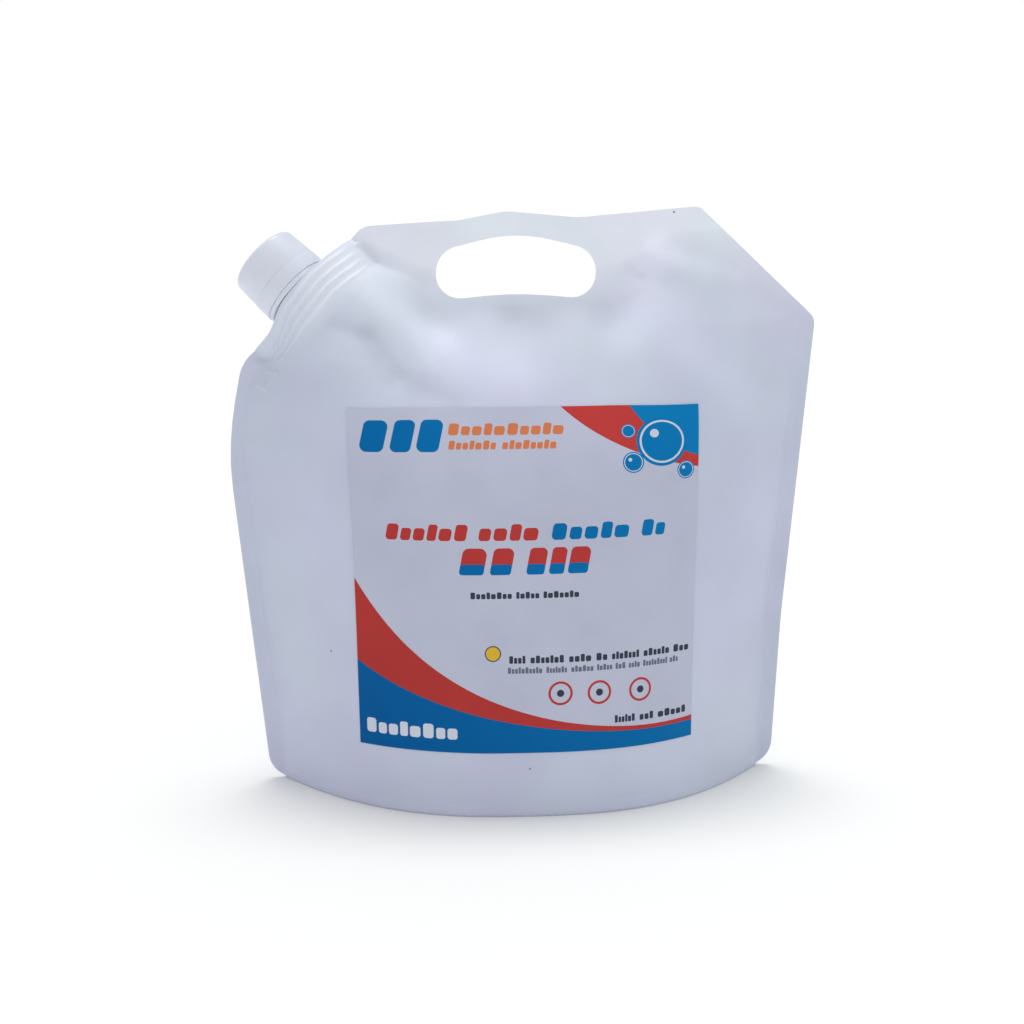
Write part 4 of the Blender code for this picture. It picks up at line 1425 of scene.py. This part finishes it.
def label_layout(painted, step):
    """Places and triangles of the label's sheet, cut along the outlines painted on it."""
    inner = grid_points((0.0, 0.0), (LABEL_WIDTH, LABEL_HEIGHT), step)
    inner = inner[within_sheet(inner, step / 3)]
    flat, triangles = triangulated([sheet_border(step)] + [outline for _, outline in painted], inner)
    return flat, triangles[within_sheet(flat[triangles].mean(axis=1), 0.0)]


def build_label(context):
    """The label as thin closed tiles that share their edges: the sheet, its colour fields and its print."""
    settings = context.scene.pouch_label
    form = FilmForm(context.scene.pouch_film)
    painted = band_outlines() + print_outlines()
    flat, triangles = label_layout(painted, settings.grid_step)
    middles = flat[triangles].mean(axis=1)
    names = ["sheet"] + sorted({name for name, _ in painted} - {"sheet"})
    owner = np.zeros(len(triangles), int)
    for name, outline in painted:
        owner[inside(middles, outline)] = names.index(name)
    low = lifted(form, flat, settings.lift)
    high = lifted(form, flat, settings.lift + settings.thickness)
    inks = label_inks(settings)
    for index, name in enumerate(names):
        node, slot, first, second = inks[name]
        material = ink_material(name, first, second)
        piece = tile_piece("print_" + name, triangles[owner == index], low, high, material)
        if node:
            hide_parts(node)


def tile_piece(name, triangles, low, high, material):
    """A thin closed tile between two surfaces over some of their triangles."""
    used, own = compacted(triangles)
    count = len(used)
    faces = (own + count).tolist() + own[:, ::-1].tolist()
    for start, end in border_edges(own):
        faces.append((start, end, end + count, start + count))
    points = np.vstack((low[used], high[used]))
    return new_piece(name, points, faces, material, "pouch_body")


def build_specks(context):
    """Small dark specks on the film."""
    form = FilmForm(context.scene.pouch_film)
    parts = []
    for middle, radius in SPECKS:
        rim = circle(middle, radius, SPECK_SIDES)
        centre = form.front(np.array((middle[0],)), np.array((middle[1],)))[0]
        crest = centre - np.array((0.0, radius * SPECK_RISE, 0.0))
        root = centre + np.array((0.0, radius * SPECK_DEPTH, 0.0))
        points = [*form.front(rim[:, 0], rim[:, 1]), crest, root]
        faces = [(index, (index + 1) % SPECK_SIDES, SPECK_SIDES) for index in range(SPECK_SIDES)]
        faces += [((index + 1) % SPECK_SIDES, index, SPECK_SIDES + 1) for index in range(SPECK_SIDES)]
        parts.append((points, faces))
    points, faces = joined(parts)
    new_piece("film_specks", points, faces, speck_material(), "pouch_body")


# Materials


def base_material(name, roughness):
    """A Principled material and its object coordinates."""
    material = bpy.data.materials.new(name)
    material.use_nodes = True
    tree = material.node_tree
    shader = tree.nodes["Principled BSDF"]
    shader.inputs["Roughness"].default_value = roughness
    place = tree.nodes.new("ShaderNodeTexCoord")
    return material, tree, shader, place.outputs["Object"]


def noise(tree, place, scale, detail=3.0):
    """A noise with a number of waves in each metre."""
    node = tree.nodes.new("ShaderNodeTexNoise")
    node.inputs["Scale"].default_value = scale
    node.inputs["Detail"].default_value = detail
    tree.links.new(place, node.inputs["Vector"])
    return node.outputs["Fac"]


def remap(tree, value, span, low, high, interpolation="LINEAR"):
    """A value that runs from low to high while another one crosses a span."""
    node = tree.nodes.new("ShaderNodeMapRange")
    node.interpolation_type = interpolation
    tree.links.new(value, node.inputs["Value"])
    for name, number in zip(("From Min", "From Max", "To Min", "To Max"), (*span, low, high)):
        node.inputs[name].default_value = number
    return node.outputs["Result"]


def calculate(tree, operation, first, second):
    """The result of a sum, difference or product, each side a socket or a number."""
    node = tree.nodes.new("ShaderNodeMath")
    node.operation = operation
    for socket, value in zip(node.inputs, (first, second)):
        if isinstance(value, (int, float)):
            socket.default_value = value
        else:
            tree.links.new(value, socket)
    return node.outputs["Value"]


def mixed(tree, share, first, second, blend_type="MIX"):
    """A mix of two colours, each a socket or a fixed colour."""
    node = tree.nodes.new("ShaderNodeMix")
    node.data_type = "RGBA"
    node.blend_type = blend_type
    for socket, value in ((node.inputs[0], share), (node.inputs[6], first), (node.inputs[7], second)):
        if isinstance(value, (int, float)):
            socket.default_value = value
        elif isinstance(value, bpy.types.NodeSocket):
            tree.links.new(value, socket)
        else:
            socket.default_value = (*value, 1.0)
    return node.outputs[2]


def shaded(tree, colour, value):
    """A colour, darker or lighter by a value."""
    node = tree.nodes.new("ShaderNodeCombineColor")
    for socket in node.inputs:
        tree.links.new(value, socket)
    return mixed(tree, 1.0, colour, node.outputs["Color"], "MULTIPLY")


def bump(tree, shader, height, distance, strength):
    """Fine relief that a height socket gives a finish."""
    node = tree.nodes.new("ShaderNodeBump")
    node.inputs["Strength"].default_value = strength
    node.inputs["Distance"].default_value = distance
    tree.links.new(height, node.inputs["Height"])
    tree.links.new(node.outputs["Normal"], shader.inputs["Normal"])


def vary_roughness(tree, shader, value, low, high):
    """Roughness that follows a noise between two values."""
    tree.links.new(remap(tree, value, NOISE_SPAN, low, high), shader.inputs["Roughness"])


def attribute(tree, name):
    """A value that the mesh holds at its points."""
    node = tree.nodes.new("ShaderNodeAttribute")
    node.attribute_name = name
    return node.outputs["Fac"]


def film_colour(tree, place, weld, settings):
    """Painted light: brighter where the film lies flat, as if light shone through it, painted highlight where
    it crests a fold and painted shade in its dents; faintly patched and mottled, palest at the ribs, with
    painted shade between them.
    """
    # Painted light: flat film lighter, as if light shone through it, full film darker
    colour = mixed(tree, attribute(tree, "fullness"), settings.thin_colour, settings.full_colour)
    # Painted highlight on fold crests and painted shade in dents
    lit = remap(tree, attribute(tree, "fold_rise"), FOLD_SPAN, low=0.90, high=1.15)
    colour = shaded(tree, colour, lit)
    patches = noise(tree, place, scale=11.0, detail=1.0)
    patches = remap(tree, patches, PATCH_SPAN, low=0.0, high=1.0, interpolation="SMOOTHSTEP")
    colour = mixed(tree, 1.0, colour, mixed(tree, patches, *PATCH_TINTS), "MULTIPLY")
    mottle = remap(tree, noise(tree, place, scale=17.0, detail=2.0), NOISE_SPAN, low=0.955, high=1.03)
    colour = shaded(tree, colour, mottle)
    # The welded seams take the flat film's colour with its painted light, a little darker
    seam = [channel * SEAM_SHADE for channel in settings.thin_colour]
    colour = mixed(tree, calculate(tree, "MULTIPLY", weld, SEAM_SHARE), colour, seam)
    return mixed(tree, attribute(tree, "weld_white"), colour, settings.thin_colour)


def film_material(settings):
    """Satin white film with welded edges, slow unevenness and fine grain."""
    material, tree, shader, place = base_material("Pouch film", settings.roughness)
    edge = attribute(tree, "edge_distance")
    weld = remap(tree, edge, SEAM_SPAN, low=1.0, high=0.0, interpolation="SMOOTHSTEP")
    tree.links.new(film_colour(tree, place, weld, settings), shader.inputs["Base Color"])
    sheen = noise(tree, place, scale=45.0)
    vary_roughness(tree, shader, sheen, low=settings.roughness - 0.05, high=settings.roughness + 0.06)
    grain = calculate(tree, "MULTIPLY", noise(tree, place, scale=900.0, detail=2.0), GRAIN_SHARE)
    slow = calculate(tree, "MULTIPLY", noise(tree, place, scale=95.0), SLOW_SHARE)
    pressed = calculate(tree, "MULTIPLY", weld, PRESSED_SHARE)
    height = calculate(tree, "SUBTRACT", calculate(tree, "ADD", grain, slow), pressed)
    bump(tree, shader, height, distance=0.0003, strength=0.35)
    shader.inputs["Specular IOR Level"].default_value = FILM_SPECULAR
    return material


def moulded_material(settings):
    """White moulded plastic with a fine drag of the mould and soft sheen."""
    name = "Moulded white"
    if name in bpy.data.materials:
        return bpy.data.materials[name]
    material, tree, shader, place = base_material(name, settings.roughness)
    mottle = remap(tree, noise(tree, place, scale=60.0), NOISE_SPAN, low=0.97, high=1.02)
    tree.links.new(shaded(tree, settings.white, mottle), shader.inputs["Base Color"])
    sheen = noise(tree, place, scale=220.0)
    vary_roughness(tree, shader, sheen, low=settings.roughness - 0.05, high=settings.roughness + 0.05)
    bump(tree, shader, noise(tree, place, scale=1400.0, detail=2.0), distance=0.0001, strength=0.15)
    shader.inputs["Subsurface Weight"].default_value = 0.12
    shader.inputs["Subsurface Scale"].default_value = 0.003
    return material


def wad_material(settings):
    """Pale foam wad with fine pores."""
    material, tree, shader, place = base_material("Foam wad", 0.8)
    pores = noise(tree, place, scale=1800.0, detail=4.0)
    colour = shaded(tree, settings.wad_grey, remap(tree, pores, PORE_SPAN, low=0.9, high=1.04))
    tree.links.new(colour, shader.inputs["Base Color"])
    bump(tree, shader, pores, distance=0.0002, strength=0.5)
    return material


def ink_material(name, first, second):
    """A printed or bare place of the satin label, from one colour low left to another high right, the lighter
    one there a painted light.
    """
    material, tree, shader, place = base_material("Label " + name.replace("_", " "), 0.36)
    parts = tree.nodes.new("ShaderNodeSeparateXYZ")
    tree.links.new(place, parts.inputs["Vector"])
    # Painted light: the colour turns towards the second one to the right and up
    across = remap(tree, parts.outputs["X"], LIT_ACROSS, low=0.0, high=0.55)
    up = remap(tree, parts.outputs["Z"], LIT_UP, low=0.0, high=0.45)
    colour = mixed(tree, calculate(tree, "ADD", across, up), first, second)
    mottle = remap(tree, noise(tree, place, scale=30.0), NOISE_SPAN, low=0.965, high=1.03)
    tree.links.new(shaded(tree, colour, mottle), shader.inputs["Base Color"])
    vary_roughness(tree, shader, noise(tree, place, scale=160.0), low=0.32, high=0.42)
    bump(tree, shader, noise(tree, place, scale=700.0, detail=2.0), distance=0.0001, strength=0.12)
    shader.inputs["Specular IOR Level"].default_value = INK_SPECULAR
    return material


def speck_material():
    """Dark specks, unevenly brown."""
    material, tree, shader, place = base_material("Speck", 0.6)
    share = remap(tree, noise(tree, place, scale=900.0), PORE_SPAN, low=0.0, high=1.0)
    tree.links.new(mixed(tree, share, *SPECK_BROWNS), shader.inputs["Base Color"])
    return material


def floor_material(settings):
    """Plain pale floor with barely visible unevenness."""
    material, tree, shader, place = base_material("Studio floor", 0.9)
    mottle = remap(tree, noise(tree, place, scale=3.0), NOISE_SPAN, low=0.995, high=1.0)
    tree.links.new(shaded(tree, settings.floor_colour, mottle), shader.inputs["Base Color"])
    shader.inputs["Specular IOR Level"].default_value = 0.0
    return material


# Studio


def build_floor(settings):
    """The pale floor at the height of the pouch's base."""
    mesh = bpy.data.meshes.new("studio_floor")
    form = bmesh.new()
    bmesh.ops.create_grid(form, x_segments=8, y_segments=8, size=settings.floor_size / 2)
    form.to_mesh(mesh)
    form.free()
    mesh.materials.append(floor_material(settings))
    floor = bpy.data.objects.new("studio_floor", mesh)
    floor.location.z = CAD_BOX[0][2]
    bpy.context.scene.collection.objects.link(floor)


def build_lights(settings):
    """One broad light and an even light from all round, before a white background."""
    light = bpy.data.lights.new("key_light", "SUN")
    light.energy = settings.key_strength
    light.angle = settings.key_spread
    key = bpy.data.objects.new("key_light", light)
    key.rotation_euler = (settings.key_tilt, 0.0, 0.0)
    bpy.context.scene.collection.objects.link(key)
    world = bpy.data.worlds.new("Studio")
    bpy.context.scene.world = world
    world.use_nodes = True
    tree = world.node_tree
    tree.nodes.clear()
    seen, unseen = (tree.nodes.new("ShaderNodeBackground") for _ in range(2))
    seen.inputs["Strength"].default_value = 1.0
    seen.inputs["Color"].default_value = BACKGROUND
    place = tree.nodes.new("ShaderNodeTexCoord")
    parts = tree.nodes.new("ShaderNodeSeparateXYZ")
    tree.links.new(place.outputs["Generated"], parts.inputs["Vector"])
    low, high = (settings.ambient * share for share in AMBIENT_SIDES)
    across = remap(tree, parts.outputs["X"], (-1.0, 1.0), low, high)
    tree.links.new(across, unseen.inputs["Strength"])
    unseen.inputs["Color"].default_value = AMBIENT_TINT
    path = tree.nodes.new("ShaderNodeLightPath")
    mix = tree.nodes.new("ShaderNodeMixShader")
    output = tree.nodes.new("ShaderNodeOutputWorld")
    tree.links.new(path.outputs["Is Camera Ray"], mix.inputs["Fac"])
    tree.links.new(unseen.outputs["Background"], mix.inputs[1])
    tree.links.new(seen.outputs["Background"], mix.inputs[2])
    tree.links.new(mix.outputs["Shader"], output.inputs["Surface"])


def build_camera(settings):
    """The camera in front of the pouch, turned a little to the left and raised."""
    back = Vector((
        -math.sin(settings.azimuth) * math.cos(settings.elevation),
        -math.cos(settings.azimuth) * math.cos(settings.elevation),
        math.sin(settings.elevation),
    ))
    lens = bpy.data.cameras.new("camera")
    lens.sensor_width = SENSOR_WIDTH
    lens.lens = lens.sensor_width * settings.distance / settings.field
    lens.clip_end = SIGHT
    camera = bpy.data.objects.new("camera", lens)
    turn = back.to_track_quat("Z", "Y").to_matrix().to_4x4()
    place = Matrix.Translation(Vector(settings.target) + back * settings.distance)
    camera.matrix_world = place @ turn @ Matrix.Rotation(-settings.roll, 4, "Z")
    bpy.context.scene.collection.objects.link(camera)
    bpy.context.scene.camera = camera
    bpy.context.scene.view_settings.view_transform = "Standard"


# Operators and panel


class POUCH_OT_film(bpy.types.Operator):
    """Add the pouch of film with its seams, folds and hand hole"""

    bl_idname = "pouch.film"
    bl_label = "Add Film Pouch"

    def execute(self, context):
        build_film(context)
        return {"FINISHED"}


class POUCH_OT_specks(bpy.types.Operator):
    """Add the small specks on the film"""

    bl_idname = "pouch.specks"
    bl_label = "Add Film Specks"

    def execute(self, context):
        build_specks(context)
        return {"FINISHED"}


class POUCH_OT_spout(bpy.types.Operator):
    """Add the spout with its flange, thread and ribbed weld base"""

    bl_idname = "pouch.spout"
    bl_label = "Add Spout"

    def execute(self, context):
        build_spout(context)
        return {"FINISHED"}


class POUCH_OT_closure(bpy.types.Operator):
    """Add the tamper ring and the screw cap, and finish the foam wad"""

    bl_idname = "pouch.closure"
    bl_label = "Add Cap and Ring"

    def execute(self, context):
        build_ring(context)
        build_cap(context)
        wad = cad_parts["cap_liner"]
        wad.data.materials.clear()
        wad.data.materials.append(wad_material(context.scene.pouch_spout))
        return {"FINISHED"}


class POUCH_OT_label(bpy.types.Operator):
    """Add the label with its colour fields, blocks, bubbles and dots"""

    bl_idname = "pouch.label"
    bl_label = "Add Label"

    def execute(self, context):
        build_label(context)
        return {"FINISHED"}


class POUCH_OT_studio(bpy.types.Operator):
    """Add the floor, the lights and the camera"""

    bl_idname = "pouch.studio"
    bl_label = "Add Studio"

    def execute(self, context):
        settings = context.scene.pouch_studio
        build_floor(settings)
        build_lights(settings)
        build_camera(settings)
        return {"FINISHED"}


SETTINGS = {
    "pouch_film": FilmSettings,
    "pouch_spout": SpoutSettings,
    "pouch_label": LabelSettings,
    "pouch_studio": StudioSettings,
}
OPERATORS = (
    POUCH_OT_film,
    POUCH_OT_specks,
    POUCH_OT_spout,
    POUCH_OT_closure,
    POUCH_OT_label,
    POUCH_OT_studio,
)


class VIEW3D_PT_pouch(bpy.types.Panel):
    """Settings and steps of the spout pouch"""

    bl_label = "Spout Pouch"
    bl_idname = "VIEW3D_PT_pouch"
    bl_space_type = "VIEW_3D"
    bl_region_type = "UI"
    bl_category = "Pouch"

    def draw(self, context):
        for operator in OPERATORS:
            self.layout.operator(operator.bl_idname)
        for name in SETTINGS:
            group = getattr(context.scene, name)
            box = self.layout.box()
            for entry in group.bl_rna.properties:
                if not entry.is_readonly and entry.identifier != "name":
                    box.prop(group, entry.identifier)


def register():
    for name, group in SETTINGS.items():
        bpy.utils.register_class(group)
        setattr(bpy.types.Scene, name, bpy.props.PointerProperty(type=group))
    for entry in (*OPERATORS, VIEW3D_PT_pouch):
        bpy.utils.register_class(entry)


def unregister():
    for entry in reversed((*OPERATORS, VIEW3D_PT_pouch)):
        bpy.utils.unregister_class(entry)
    for name, group in reversed(SETTINGS.items()):
        delattr(bpy.types.Scene, name)
        bpy.utils.unregister_class(group)


def main():
    register()
    bpy.ops.pouch.film()
    bpy.ops.pouch.specks()
    bpy.ops.pouch.spout()
    bpy.ops.pouch.closure()
    bpy.ops.pouch.label()
    bpy.ops.pouch.studio()


if __name__ == "__main__":
    main()
